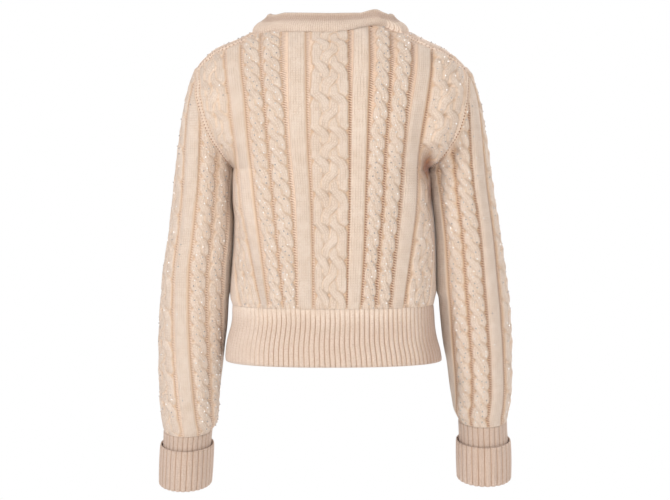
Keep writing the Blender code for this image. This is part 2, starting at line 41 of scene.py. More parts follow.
# ---------------------------------------------------------------------------------------
# The garment's form, in millimetres, with the same sizes as its solids.
# ---------------------------------------------------------------------------------------
MM = 0.001
WALL = 3.0
SEAM = 0.3
SHOULDER_TIP_Z, UNDERARM_Z = -50.0, -208.0
ARMHOLE_BACK_Y, ARMHOLE_FRONT_Y = 64.0, 72.0
SHOULDER_SEAM_ROLL = 5.0
HEM_SEAM_Z, HEM_Z = -408.0, -492.0
BACK_NECK_Z, FRONT_NECK_Z = -9.0, -86.0
BAND_LOW, BAND_HIGH = -14.0, 16.0
LAP, LAP_START = 3.4, 75.0
BUTTON_R, BUTTON_T = 8.5, 3.4
BUTTON_Z = (-150.0, -226.0, -302.0, -378.0, -454.0)

BODY = dict(
    columns=("z", "left", "right", "back", "front", "round"),
    rows=(
        (2.0, 108.0, 109.0, 52.0, 42.0, 2.3),
        (-5.0, 120.0, 124.0, 58.0, 49.0, 2.3),
        (-15.0, 141.0, 143.0, 65.0, 58.0, 2.35),
        (-27.0, 169.0, 169.0, 71.0, 67.0, 2.4),
        (-39.0, 184.0, 186.0, 76.0, 75.0, 2.5),
        (-50.0, 194.5, 198.5, 80.0, 81.0, 2.6),
        (-62.0, 202.0, 208.0, 84.0, 88.0, 2.7),
        (-78.0, 208.5, 217.0, 89.0, 96.0, 2.8),
        (-100.0, 211.0, 220.0, 95.0, 103.0, 3.0),
        (-121.0, 208.5, 218.0, 98.0, 107.0, 3.0),
        (-140.0, 201.0, 212.0, 99.0, 109.0, 3.0),
        (-160.0, 187.0, 199.0, 99.0, 109.0, 3.0),
        (-175.0, 172.0, 184.0, 99.0, 108.0, 3.0),
        (-190.0, 157.0, 167.0, 98.0, 107.0, 3.0),
        (-200.0, 147.0, 155.0, 98.0, 106.0, 3.0),
        (-208.0, 142.0, 148.0, 97.0, 105.0, 3.0),
        (-230.0, 143.0, 147.0, 96.0, 103.0, 2.95),
        (-253.0, 143.0, 148.0, 94.0, 101.0, 2.9),
        (-281.0, 140.0, 152.0, 92.0, 98.0, 2.8),
        (-313.0, 141.0, 155.0, 90.0, 96.0, 2.7),
        (-343.0, 144.0, 156.0, 90.0, 96.0, 2.6),
        (-375.0, 147.0, 157.0, 93.0, 98.0, 2.55),
        (-398.0, 148.0, 157.0, 96.5, 100.0, 2.5),
        (-408.0, 146.0, 156.0, 96.0, 99.0, 2.5),
        (-425.0, 146.0, 157.0, 95.0, 98.0, 2.45),
        (-440.0, 148.0, 158.0, 96.0, 98.0, 2.45),
        (-458.0, 153.0, 161.0, 98.0, 99.0, 2.4),
        (-476.0, 156.0, 166.0, 100.0, 100.0, 2.4),
        (-492.0, 157.0, 169.0, 100.0, 100.0, 2.4),
    ),
)
NECKLINE = dict(
    columns=("angle", "z"),
    rows=((0.0, BACK_NECK_Z), (40.0, -7.5), (70.0, -3.5), (90.0, -0.5), (104.0, -2.5),
          (126.0, -11.0), (145.0, -31.0), (158.0, -59.0), (169.0, -79.0), (180.0, FRONT_NECK_Z)),
)
NECKBAND = dict(
    columns=("angle", "inward", "upward"),
    rows=((0.0, 13.0, 26.0), (45.0, 16.0, 26.0), (90.0, 26.0, 24.0), (130.0, 21.0, 23.0),
          (180.0, 13.0, 25.0)),
)
SLEEVE_LEFT = dict(
    columns=("z", "outer", "inner", "half_depth", "middle_y", "tilt"),
    rows=(
        (-255.0, 236.0, 147.0, 54.0, 2.0, 0.0),
        (-285.0, 239.5, 145.5, 55.0, 2.0, 0.0),
        (-313.0, 243.0, 146.5, 56.0, 1.5, 0.0),
        (-349.0, 249.5, 148.5, 56.5, 0.0, 1.0),
        (-380.0, 253.0, 150.5, 56.0, -2.0, 2.0),
        (-410.0, 256.0, 152.5, 55.0, -5.0, 3.0),
        (-440.0, 258.5, 154.5, 53.0, -9.0, 4.5),
        (-470.0, 260.0, 158.5, 51.0, -13.0, 6.0),
        (-500.0, 261.0, 162.0, 49.0, -18.0, 7.0),
        (-530.0, 261.0, 166.0, 47.0, -23.0, 8.0),
        (-560.0, 260.5, 169.0, 45.0, -28.0, 8.5),
        (-585.0, 259.5, 171.5, 43.0, -32.0, 9.0),
        (-597.0, 257.5, 175.0, 41.0, -34.0, 9.0),
        (-605.0, 255.0, 179.5, 39.0, -35.0, 9.0),
        (-640.0, 257.0, 183.0, 38.0, -40.5, 9.0),
        (-690.0, 260.0, 186.5, 38.0, -48.5, 9.0),
    ),
)
SLEEVE_RIGHT = dict(
    columns=SLEEVE_LEFT["columns"],
    rows=(
        (-255.0, 247.0, 157.0, 54.0, 2.0, 0.0),
        (-285.0, 252.0, 159.5, 55.0, 2.0, 0.0),
        (-313.0, 256.5, 161.0, 56.0, 1.5, 0.0),
        (-349.0, 262.0, 162.0, 56.5, 0.0, 1.0),
        (-380.0, 266.5, 163.0, 56.0, -2.0, 2.0),
        (-410.0, 270.5, 165.0, 55.0, -5.0, 3.0),
        (-440.0, 273.0, 168.0, 53.0, -9.0, 4.5),
        (-470.0, 275.0, 172.0, 51.0, -13.0, 6.0),
        (-500.0, 275.5, 178.0, 49.0, -18.0, 7.0),
        (-530.0, 276.5, 182.0, 47.0, -23.0, 8.0),
        (-555.0, 276.0, 186.0, 45.0, -27.5, 8.5),
        (-572.0, 274.5, 189.0, 43.0, -30.5, 9.0),
        (-582.0, 273.0, 193.0, 41.0, -32.0, 9.0),
        (-590.0, 271.5, 196.5, 39.0, -33.0, 9.0),
        (-630.0, 274.0, 198.5, 38.0, -39.5, 9.0),
        (-685.0, 276.0, 200.5, 38.0, -48.0, 9.0),
    ),
)
CUFF = dict(
    left=dict(seam_z=-605.0, fold_z=-690.0, turn_z=-627.0),
    right=dict(seam_z=-590.0, fold_z=-682.0, turn_z=-621.0),
    gap=1.4,
)
FOLDS = (
    dict(where="back", columns=("z", "x", "depth", "half_width"),
         rows=((-30.0, -146.0, 0.0, 12.0), (-80.0, -142.0, 3.5, 13.0), (-140.0, -136.0, 7.5, 14.0),
               (-190.0, -134.0, 8.0, 14.0), (-250.0, -143.0, 4.0, 12.0), (-300.0, -146.0, 0.0, 12.0))),
    dict(where="back", columns=("z", "x", "depth", "half_width"),
         rows=((-150.0, 158.0, 0.0, 12.0), (-180.0, 146.0, 3.0, 12.0), (-225.0, 132.0, 4.0, 12.0),
               (-290.0, 126.0, 0.0, 12.0))),
    dict(where="front", columns=("z", "x", "depth", "half_width"),
         rows=((-90.0, 150.0, 0.0, 13.0), (-140.0, 138.0, 4.5, 14.0), (-200.0, 126.0, 5.5, 14.0),
               (-300.0, 128.0, 0.0, 12.0))),
    dict(where="front", columns=("z", "x", "depth", "half_width"),
         rows=((-80.0, -152.0, 0.0, 13.0), (-135.0, -140.0, 4.0, 14.0), (-210.0, -128.0, 6.0, 15.0),
               (-290.0, -132.0, 0.0, 12.0))),
)

# The knit: one stitch's width and height.
WALE, COURSE = 3.5, 3.7
HEM_RIB, NECK_RIB = 7.3, 3.4
CUFF_RIB = dict(left=7.9, right=8.9)
ROPE_TURN = 24.0        # height of one crossing of a rope cable
PLAIT_TURN = 24.4       # height of half a repeat of the four-strand plait

# Where the back's cables and bands start and end, as distances from the centre, by height.
BACK_LEFT = dict(
    columns=("z", "braid", "band1_in", "band1_out", "rope1_in", "rope1_out", "rope2_in",
             "rope2_out", "band2_in", "band2_out", "side_in"),
    rows=((2.0, 26, 35, 61, 71, 98, 102, 127, 131, 153, 157),
          (-49.0, 26, 34, 60, 70, 96, 100, 125, 129, 150, 154),
          (-106.0, 28, 33, 59, 66, 92, 95, 118, 122, 143, 147),
          (-178.0, 27, 31, 56, 61, 86, 89, 112, 117, 135, 139),
          (-252.0, 24, 27, 49, 55, 80, 83, 106, 110, 130, 133),
          (-324.0, 22, 25, 47, 51, 73, 76, 96, 101, 117, 119),
          (-408.0, 21, 24, 45, 48, 65, 67, 86, 89, 99, 101)),
)
BACK_RIGHT = dict(
    columns=BACK_LEFT["columns"],
    rows=((2.0, 27, 35, 58, 68, 89, 98, 120, 129, 149, 153),
          (-49.0, 27, 34, 58, 67, 88, 97, 119, 128, 148, 151),
          (-106.0, 28, 32, 56, 64, 85, 89, 112, 120, 141, 144),
          (-178.0, 28, 31, 54, 57, 80, 84, 107, 111, 131, 134),
          (-252.0, 28, 30, 52, 55, 77, 80, 102, 106, 129, 132),
          (-324.0, 26, 28, 50, 53, 71, 75, 95, 99, 120, 123),
          (-408.0, 24, 26, 45, 48, 66, 70, 87, 91, 108, 112)),
)
BACK_SIDE_WIDTH = dict(columns=("z", "width"),
                       rows=((2.0, 50.0), (-150.0, 47.0), (-260.0, 44.0), (-408.0, 38.0)))


def smooth_table(table, key):
    """A monotone cubic through the table's column, as a function of its first column."""
    columns = table["columns"]
    points = sorted((row[0], row[columns.index(key)]) for row in table["rows"])
    x = np.array([p[0] for p in points], float)
    y = np.array([p[1] for p in points], float)
    h = np.diff(x)
    d = np.diff(y) / h
    m = np.zeros(len(x))
    m[0], m[-1] = d[0], d[-1]
    for i in range(1, len(x) - 1):
        if d[i - 1] * d[i] > 0:
            w1, w2 = 2 * h[i] + h[i - 1], h[i] + 2 * h[i - 1]
            m[i] = (w1 + w2) / (w1 / d[i - 1] + w2 / d[i])

    def at(value):
        value = np.clip(np.asarray(value, float), x[0], x[-1])
        i = np.clip(np.searchsorted(x, value) - 1, 0, len(h) - 1)
        t = (value - x[i]) / h[i]
        return ((1 + 2 * t) * (1 - t) ** 2 * y[i] + t * (1 - t) ** 2 * h[i] * m[i]
                + t * t * (3 - 2 * t) * y[i + 1] + t * t * (t - 1) * h[i] * m[i + 1])

    return at


body = {k: smooth_table(BODY, k) for k in BODY["columns"][1:]}
neckline_z = smooth_table(NECKLINE, "z")
neckband = {k: smooth_table(NECKBAND, k) for k in NECKBAND["columns"][1:]}
sleeves = {
    "left": {k: smooth_table(SLEEVE_LEFT, k) for k in SLEEVE_LEFT["columns"][1:]},
    "right": {k: smooth_table(SLEEVE_RIGHT, k) for k in SLEEVE_RIGHT["columns"][1:]},
}
folds = [dict(where=f["where"], top=f["rows"][0][0], low=f["rows"][-1][0],
              **{k: smooth_table(f, k) for k in f["columns"][1:]}) for f in FOLDS]


def step(t):
    t = np.clip(t, 0.0, 1.0)
    return t * t * (3 - 2 * t)


def power(value, exponent):
    return np.sign(value) * np.abs(value) ** exponent


def unit(v):
    return v / np.maximum(np.linalg.norm(v, axis=-1, keepdims=True), 1e-9)


def bare_skin(angle, z):
    """Points of the body's outer face: angle 0 is the centre back, 90 the wearer's left side,
    180 the centre front, and negative angles go round by the wearer's right."""
    angle, z = np.broadcast_arrays(np.asarray(angle, float), np.asarray(z, float))
    a = np.radians(angle)
    width = np.where(angle >= 0, body["left"](z), body["right"](z))
    depth = np.where(np.abs(angle) < 90, body["back"](z), body["front"](z))
    e = 2 / body["round"](z)
    return np.stack([width * power(np.sin(a), e), depth * power(np.cos(a), e), z], -1)


def skin(angle, z):
    """The outer face with its large folds pressed in."""
    p = bare_skin(angle, z)
    angle, z = np.broadcast_arrays(np.asarray(angle, float), np.asarray(z, float))
    for f in folds:
        here = ((np.abs(angle) < 90) == (f["where"] == "back")) & (z > f["low"]) & (z < f["top"])
        away = np.abs(p[..., 0] - f["x"](z)) / f["half_width"](z)
        pressed = np.where(here & (away < 2.0), f["depth"](z) * 0.5 * (1 + np.cos(math.pi * away / 2.0)), 0.0)
        p[..., 1] -= np.sign(p[..., 1]) * pressed * step(np.abs(p[..., 1]) / 30.0)
    return p


def skin_normal(angle, z):
    da, dz = 0.4, 0.8
    along = skin(angle + da, z) - skin(angle - da, z)
    up = skin(angle, z + dz) - skin(angle, z - dz)
    return unit(np.cross(up, along))


def angle_at(x, z, front):
    x, z = np.broadcast_arrays(np.asarray(x, float), np.asarray(z, float))
    width = np.where(x >= 0, body["left"](z), body["right"](z))
    a = np.degrees(np.arcsin(np.minimum(1.0, (np.abs(x) / width) ** (body["round"](z) / 2))))
    sign = np.where(x >= 0, 1.0, -1.0)
    return sign * (180.0 - a if front else a)


def armhole_y(z, front):
    half = (SHOULDER_TIP_Z - UNDERARM_Z) / 2
    c = 1 - (SHOULDER_TIP_Z - z) / half
    return (ARMHOLE_FRONT_Y if front else ARMHOLE_BACK_Y) * np.sqrt(np.maximum(0.0, 1 - c * c))


def edge_angle(z, front):
    """The outer edge of a front or back piece: side seam, then armhole, then shoulder seam."""
    z = np.asarray(z, float)
    t = (z - SHOULDER_TIP_Z) / -SHOULDER_TIP_Z
    depth = body["front" if front else "back"](z)
    c = (armhole_y(np.clip(z, UNDERARM_Z, SHOULDER_TIP_Z), front) / depth) ** (body["round"](z) / 2)
    a = np.degrees(np.arccos(np.minimum(1.0, c)))
    a = 180.0 - a if front else a
    return np.where(z <= UNDERARM_Z, 90.0, np.where(z >= SHOULDER_TIP_Z, 90.0 - SHOULDER_SEAM_ROLL * step(t), a))


def past_ridge(angle, z):
    """The fronts reach over the ridge of the shoulder to the seam that lies behind it."""
    beyond = np.where(z > SHOULDER_TIP_Z, 90.0 - edge_angle(z, True), 0.0)
    size = np.abs(angle)
    return np.sign(angle) * (size - beyond * step(1 - (size - 90.0) / 26.0))


def neck_rise(x):
    """How much higher than its solid the back's neckline sits at x: it rides up on the right."""
    return np.interp(x, [-105.0, -96.0, -84.0, -62.0, -40.0, -16.0, 0.0], [0.0, 6.5, 8.0, 6.0, 3.2, 0.4, 0.0])


def neck_lift(x):
    """And all of it sits a little above its solid."""
    return 3.4 * np.clip((104.0 - np.abs(x)) / 16.0, 0, 1)


def lap(x, over):
    return LAP * step((x + LAP_START) / (LAP_START - 16.0)) if over else 0.0 * x


# Lengths measured round the horizontal sections, from the centre back or the centre front.
HEIGHTS = np.arange(HEM_Z - 2.0, 11.0, 1.0)
SWEEP = 90.0 * step(np.linspace(0, 1, 400))


class Quarter:
    """One quarter of the body: side 1 or -1 (the wearer's left or right), front or back."""

    def __init__(self, side, front):
        self.side, self.front = side, front
        angles = side * (180.0 - SWEEP if front else SWEEP)
        p = skin(angles[None, :], HEIGHTS[:, None])
        d = np.linalg.norm(np.diff(p, axis=1), axis=-1)
        self.arc = np.concatenate([np.zeros((len(HEIGHTS), 1)), np.cumsum(d, 1)], 1)
        self.x = np.abs(p[..., 0])

    def _rows(self, z):
        f = np.clip((np.asarray(z, float) - HEIGHTS[0]), 0, len(HEIGHTS) - 1.001)
        i = f.astype(int)
        return i, f - i

    def _lookup(self, z, value, source, target):
        """target as a function of source along each height's section."""
        z, value = np.broadcast_arrays(np.asarray(z, float), np.asarray(value, float))
        shape = z.shape
        z, value = z.ravel(), value.ravel()
        i, t = self._rows(z)
        out = np.zeros(len(z))
        order = np.argsort(i, kind="stable")
        cuts = np.flatnonzero(np.diff(i[order])) + 1
        for group in np.split(order, cuts):
            r = i[group[0]]
            a = np.interp(value[group], source(r), target(r))
            b = np.interp(value[group], source(r + 1), target(r + 1))
            out[group] = a + (b - a) * t[group]
        return out.reshape(shape)

    def angle(self, z, arc):
        a = self._lookup(z, arc, lambda r: self.arc[r], lambda r: SWEEP)
        return self.side * (180.0 - a if self.front else a)

    def arc_at_x(self, z, x):
        return self._lookup(z, x, lambda r: self.x[r] + np.arange(400) * 1e-7, lambda r: self.arc[r])

    def arc_at_angle(self, z, angle):
        angle = 180.0 - np.abs(angle) if self.front else np.abs(angle)
        return self._lookup(z, angle, lambda r: SWEEP, lambda r: self.arc[r])


quarters = {(s, f): Quarter(s, f) for s in (1, -1) for f in (False, True)}


def climb(front):
    """The length of cloth up the centre line, as a function of height."""
    z = np.linspace(HEM_Z, 2.0, 900)
    p = bare_skin(180.0 - 25.0 if front else 25.0, z)
    up = np.concatenate([[0], np.cumsum(np.linalg.norm(np.diff(p, axis=0), axis=1))])
    base = np.interp(HEM_SEAM_Z, z, up)
    return lambda value: np.interp(value, z, up - base)


climb_back, climb_front = climb(False), climb(True)

# ---------------------------------------------------------------------------------------
# Cables. Each is a set of strands that change lanes, one passing over another.
# A plan's rows are one strand's moves: from lane, to lane, and 1 over, -1 under or 0.
# ---------------------------------------------------------------------------------------
ROPE_PLAN = ((0, 1, 1), (1, 0, -1))
PLAIT_PLAN = ((0, 1, 1), (1, 2, -1), (2, 3, 1), (3, 3, 0), (3, 2, -1), (2, 1, 1), (1, 0, -1), (0, 0, 0))


def uneven(seed, *axes):
    """A smooth, repeatable unevenness of about -1 to 1 over lengths of 15 to 60 mm."""
    r = np.random.default_rng(seed)
    out = 0.0
    for _ in range(5):
        wave = sum(a * r.uniform(-1, 1) * 2 * math.pi / 22.0 for a in axes)
        out = out + np.sin(wave + r.uniform(0, 2 * math.pi))
    return out / 3.0


def cable(x, width, v, plan, turn, rise, thick, share, spread=1.24, profile=0.5, skew=0.7):
    """Height above the ground, how much painted shadow falls in its creases, and the stitch
    coordinates, across a cable: x is to the viewer's left from its middle, v up the cloth."""
    lanes = max(row[0] for row in plan) + 1
    plan = np.array(plan, float)
    count = len(plan)
    lane = width / lanes
    pitch = lane * (lanes - spread) / (lanes - 1)
    shape = np.broadcast(x, v).shape
    v = v + 1.1 * uneven(17 + count, v)
    top = dict(h=np.full(shape, -9.0), xi=np.zeros(shape), lift=np.zeros(shape), u=np.zeros(shape), v=np.zeros(shape))
    under = dict(top)

    def path(phase):
        k = np.floor(phase).astype(int) % count
        t = phase - np.floor(phase)
        q = np.clip((0.5 - t) / share + 0.5, 0, 1) ** skew
        e = 1 - q * q * (3 - 2 * q)
        a, b, level = plan[k, 0], plan[k, 1], plan[k, 2]
        return (a + (b - a) * e - (lanes - 1) / 2) * pitch, level * 4 * e * (1 - e)

    for first in range(0, count, count // lanes):
        phase = v / turn + first
        xi, lift = path(phase)
        xi = xi + 0.4 * uneven(first + 31 * count, v)
        slope = (path(phase + 0.03)[0] - path(phase - 0.03)[0]) / (0.06 * turn)
        stretch = np.sqrt(1 + slope * slope)
        side = (x - xi) / (lane / 2 * spread * stretch ** 0.6)
        h = np.where(np.abs(side) < 1, thick * np.maximum(1 - side * side, 0) ** profile + rise * lift, -6.0)
        new = dict(h=h, xi=xi + 0 * h, lift=lift + 0 * h, u=(x - xi) / stretch / WALE + 40.0,
                   v=v / COURSE + slope * (x - xi) / COURSE / stretch ** 2 * 0.8)
        higher, second = h > top["h"], h > under["h"]
        under = {k: np.where(higher, top[k], np.where(second, new[k], under[k])) for k in top}
        top = {k: np.where(higher, new[k], top[k]) for k in top}
    # a crease gets most painted shadow where the strand at the viewer's left is the one in front
    front_left = np.where(top["xi"] > under["xi"], top["lift"] - under["lift"], under["lift"] - top["lift"])
    seen = np.clip(0.45 + 0.45 * front_left, 0.05, 1.0)
    # and on the viewer's right half of the cable, away from the light
    seen = seen * (0.12 + 0.88 * step((0.16 * width - x) / (0.3 * width)))
    between = under["h"] > 0.2
    apart = top["h"] - np.maximum(under["h"], 0.0)
    soft = np.where(between, 5.4 - 3.5 * np.clip(seen * 1.15, 0, 1), 0.8)
    fill = soft * np.maximum(1 - np.maximum(apart, 0) / soft, 0) ** 2 / 4
    crease = np.where(between, 1.15 * seen ** 1.4, 0.25) * np.exp(-np.maximum(apart, 0) / 0.6)
    return top["h"] + fill + 0.2 * uneven(5, x, v), crease, top["u"], top["v"]


def rope_at(x, width, v, strength=1.0):
    return cable(x, width, v, ROPE_PLAN, ROPE_TURN, 1.0 * strength, 2.7 * strength, 0.9)


def plait_at(x, width, v, strength=1.0):
    turn = PLAIT_TURN if strength == 1.0 else PLAIT_TURN * 0.98
    return cable(x, width, v, PLAIT_PLAN, turn, 1.1 * strength, 2.6 * strength, 0.92)


GROUND = -0.9
SINK = 2.0          # the plain knit lies this far inside the solid, and the cables reach out to it
INSIDE = 4.4


def sink_at(p):
    """How far the plain knit lies inside the solid, at points p: less where body and sleeve
    face each other, and there each swells to close half of the gap between them."""
    x, z = np.abs(p[..., 0]), p[..., 2]
    out = np.zeros(z.shape)
    swell = np.zeros(z.shape)
    for which, sign in (("left", 1), ("right", -1)):
        own = p[..., 0] * sign > 0
        b, s = body[which](z), sleeves[which]["inner"](z)
        gap = np.maximum(s - b, 0.0)
        near = np.minimum(1.3 * np.exp(-((x - (s + b) / 2) / 14.0) ** 2), 1.0) * step((-150.0 - z) / 50.0)
        close = step((-202.0 - z) / 12.0) * step((z + 402.0) / 14.0)
        out = np.where(own, near, out)
        swell = np.where(own, np.maximum(gap / 2 - 0.35, 0.0) * close * np.exp(-(p[..., 1] / 34.0) ** 4), swell)
    return SINK * (1 - out) - swell * out


class Relief:
    """What a piece's outer face carries: height over the plain form, and the numbers that its
    material reads: stitch (across, up, kind), and three amounts of painted shade, in hollows, in
    holes and over whole areas, where below 0 the last paints a warm light instead."""

    def __init__(self, shape):
        self.h = np.full(shape, GROUND)
        self.u = np.zeros(shape)
        self.v = np.zeros(shape)
        self.kind = np.ones(shape)
        self.hollow_shade = np.full(shape, 0.55)
        self.hole_shade = np.ones(shape)
        self.shade = np.zeros(shape)

    def put(self, mask, h, u, v, kind, hollow_shade, hole_shade):
        win = mask & (h > self.h)
        for name, value in (("h", h), ("u", u), ("v", v), ("kind", kind), ("hollow_shade", hollow_shade), ("hole_shade", hole_shade),
                            ("shade", 0.0)):
            current = getattr(self, name)
            current[win] = np.broadcast_to(value, current.shape)[win]

    def ground(self, across, up):
        self.u, self.v = across / WALE, up / COURSE + 0.0 * across
        self.h = GROUND + 0.28 * np.cos(2 * math.pi * self.v)

    def band(self, across, inner, outer, up, height=0.9):
        """A plain band of knit between two edges. across grows to the viewer's left, where the
        band rises softly from the gutter; its other edge is firmer."""
        middle, half = (inner + outer) / 2, (outer - inner) / 2
        left, right = outer - across, across - inner
        rise = np.minimum(step(np.clip(left / 6.5, 0, 1) ** 0.8), np.sqrt(np.clip(1 - (1 - np.clip(right / 2.6, 0, 1)) ** 2, 0, 1)))
        h = GROUND + (height - GROUND) * rise + 0.25 * np.clip(1 - ((across - middle) / half) ** 2, 0, 1)
        wales = np.round(np.mean(half) * 2 / WALE)
        u = 41.0 - left / (2 * half) * wales
        # painted shade along the band's firm edge, and faintly along its soft one
        hollow_shade = 0.55 * np.clip(1 - right / 1.6, 0, 1) + 0.12 * np.clip(1 - left / 3.0, 0, 1)
        self.put(np.minimum(left, right) > 0, h, u, up / COURSE, 0.0, hollow_shade, 0.0)

    def cable(self, across, inner, outer, up, kind, strength=1.0):
        middle, width = (inner + outer) / 2, outer - inner
        x = across - middle
        f = rope_at if kind == "rope" else plait_at
        h, crease, u, v = f(x, width, up, strength)
        edge = np.clip(1 - (width / 2 - np.abs(x)) / 2.5, 0, 1)
        # painted shadow in the creases, less on low cables, and painted shade along the edges; the deepest creases also
        # get painted dark spots
        crease = crease * min(1.0, max(0.25, 2.2 * strength - 1.1))
        hollow_shade = np.clip(0.58 * crease + 0.3 * edge * min(1.0, strength), 0, 1)
        self.put((np.abs(x) < width / 2 + 1.5) & (h > GROUND), GROUND + 0.4 + h, u, v, 0.0, hollow_shade,
                 np.clip(1.2 * crease - 0.45, 0, 1))

    def pit(self, p):
        """Painted light and shade beside the arms: a warm tint for bounced light in the shaded valleys, and painted
        deep shadow in the crease at the right.
        """
        # where body and sleeve face each other the cloth gets the warm painted tint and less painted hollow shade
        for which, sign in (("left", 1), ("right", -1)):
            x, z = p[..., 0] * sign, p[..., 2]
            valley = (body[which](z) + sleeves[which]["inner"](z)) / 2
            near = np.maximum(np.exp(-((x - valley) / 10.0) ** 2), 0.45 * np.exp(-((x - valley) / 24.0) ** 2))
            near = near * step((-178.0 - z) / 30.0) * step((z + 470.0) / 60.0)
            self.shade = np.where(near > 0.03, self.shade * (1 - near) - near, self.shade)
            self.hollow_shade = self.hollow_shade * (1 - 0.6 * near * step((-215.0 - z) / 20.0))
        # painted shadow in the creases under the arms; the one at the right gets painted deep shadow, near black
        for x, z, wide, high, much in ((-142.0, -203.0, 9.0, 22.0, 1.0), (-149.0, -236.0, 7.0, 26.0, 0.95),
                                       (143.0, -205.0, 10.0, 26.0, 0.45), (146.0, -262.0, 8.0, 40.0, 0.4)):
            near = np.exp(-((p[..., 0] - x) / wide) ** 2 - ((p[..., 2] - z) / high) ** 2) * (p[..., 1] > 0)
            self.hollow_shade = np.maximum(self.hollow_shade, np.clip(1.25 * near * much, 0, 1))
            self.shade = np.where(near * much > 0.5, np.maximum(self.shade, 0), self.shade)
            self.shade = np.maximum(self.shade, np.clip(2.8 * near * (much - 0.3), 0, 1.9)) if much > 0.9 else self.shade

    def gutter(self, across, a, b, up, left, deep_shade=0.6):
        """The purl ground between two features: a line of small holes down the side at the viewer's
        left, painted dark as the shadow of that wall, and rungs that curve away from it, all under
        an even painted shade. left is 1 where across grows that way, and the last argument says how
        much shade is painted on it."""
        t = (across - a) / np.maximum(b - a, 0.5)
        t = 1 - t if left > 0 else t
        away = t * np.maximum(b - a, 0.5)
        mask = (t > -0.5) & (t < 1.5) & (self.kind > 0.5)
        line = np.exp(-((away - 0.6) / (0.8 + 0.4 * deep_shade)) ** 2)
        reach = np.maximum(13.0, 2.2 * (b - a))
        self.u = np.where(mask, 40.75 + np.clip(away - 0.6, -1.5, reach / 2 - 0.2) / reach, self.u)
        self.v = np.where(mask, up / COURSE + 0.7 * np.clip(away / 6.0, 0, 1) ** 1.5, self.v)
        self.shade = np.where(mask, 0.22 + 0.16 * deep_shade, self.shade)
        self.hollow_shade = np.where(mask, 0.27 + 0.28 * deep_shade + 0.45 * line * (0.4 + 0.6 * deep_shade), self.hollow_shade)
        self.hole_shade = np.where(mask, (0.20 + 0.50 * deep_shade + 0.6 * line) * (0.65 + 0.35 * deep_shade), self.hole_shade)


# ---------------------------------------------------------------------------------------
# Meshes
# ---------------------------------------------------------------------------------------
def fan(dense, coarse, flip):
    """Triangles between a dense edge and one with a quarter of its points."""
    out = []
    n = len(coarse) - 1
    i = np.arange(n)
    d = [dense[4 * i + k] for k in range(5)]
    a, b = coarse[i], coarse[i + 1]
    out = [np.stack(t, 1) for t in ((d[1], d[0], a), (d[2], d[1], a), (a, b, d[2]), (d[3], d[2], b), (d[4], d[3], b))]
    out = np.concatenate(out)
    return out[:, ::-1] if flip else out


def calm_at(u, v, limit, ring):
    """0 beside a jump in the stitch coordinates, where the stitches would run together, else 1."""
    jump = np.zeros(u.shape)
    for values in (u, v):
        across = np.abs(np.roll(values, -1, 1) - values)
        if not ring:
            across[:, -1] = 0
        along = np.abs(np.diff(values, axis=0))
        jump = np.maximum(jump, np.maximum(across, np.roll(across, 1, 1)))
        jump[:-1] = np.maximum(jump[:-1], along)
        jump[1:] = np.maximum(jump[1:], along)
    return 1 - np.clip(2 * (jump / limit - 1), 0, 1)


def shell(name, outer, inner, relief, ring=False, material=None, rims=("low", "high", "sides")):
    """A closed wall of cloth. outer is a grid of points, rows by columns, and inner the points
    behind it, of which every fourth is used. Points that fall together are merged. rims are the
    edges that meet another piece."""
    rows, cols = outer.shape[:2]
    idx = np.arange(rows * cols).reshape(rows, cols)
    if ring:
        idx = np.concatenate([idx, idx[:, :1]], 1)
    icols = cols // 4 if ring else (cols - 1) // 4 + 1
    coarse = inner[::4, ::4][:, :icols]
    irows = coarse.shape[0]
    jdx = rows * cols + np.arange(irows * icols).reshape(irows, icols)
    if ring:
        jdx = np.concatenate([jdx, jdx[:, :1]], 1)
    quads = [np.stack([idx[:-1, :-1], idx[:-1, 1:], idx[1:, 1:], idx[1:, :-1]], -1).reshape(-1, 4),
             np.stack([jdx[:-1, :-1], jdx[1:, :-1], jdx[1:, 1:], jdx[:-1, 1:]], -1).reshape(-1, 4)]
    tris = [fan(idx[0], jdx[0], False), fan(idx[-1], jdx[-1], True)]
    if not ring:
        tris += [fan(idx[:, 0], jdx[:, 0], True), fan(idx[:, -1], jdx[:, -1], False)]
    tris = np.concatenate(tris)
    faces = np.concatenate(quads + [np.concatenate([tris, tris[:, :1]], 1)])
    points = np.concatenate([outer.reshape(-1, 3), coarse.reshape(-1, 3)])

    def both(values, inside):
        return np.concatenate([values.ravel(), np.broadcast_to(inside, (irows, icols)).ravel()])

    rim = np.zeros((rows, cols), bool)
    for part in rims:
        rim[{"low": (0,), "high": (-1,), "sides": (slice(None), [0, -1])}[part]] = True
    rim = both(rim, False).astype(bool)
    # the reverse side has its own even stitches
    middle = coarse[irows // 2], coarse[:, icols // 2]
    run, climb = (np.concatenate([[0], np.cumsum(np.linalg.norm(np.diff(m, axis=0), axis=1))]) for m in middle)
    inner_u = run[None, :] / 3.2 + np.zeros((irows, 1))
    inner_v = climb[:, None] / COURSE + np.zeros((1, icols))
    reverse = np.ones((irows, icols))
    if ring:
        reverse[:, [0, -1]] = 0.0
    stitch = np.stack([both(relief.u, inner_u), both(relief.v, inner_v), both(relief.kind, 1.0)], 1)
    # the reverse side gets an even painted shade in its hollows and over it
    painted_shading = np.stack([both(relief.hollow_shade, 0.35), both(relief.hole_shade, 0.0), both(relief.shade, 0.35)], 1)
    calm = both(calm_at(relief.u, relief.v, 1.0, ring), reverse)
    return build(name, points, faces, stitch, painted_shading, material, rim=rim, calm=calm)


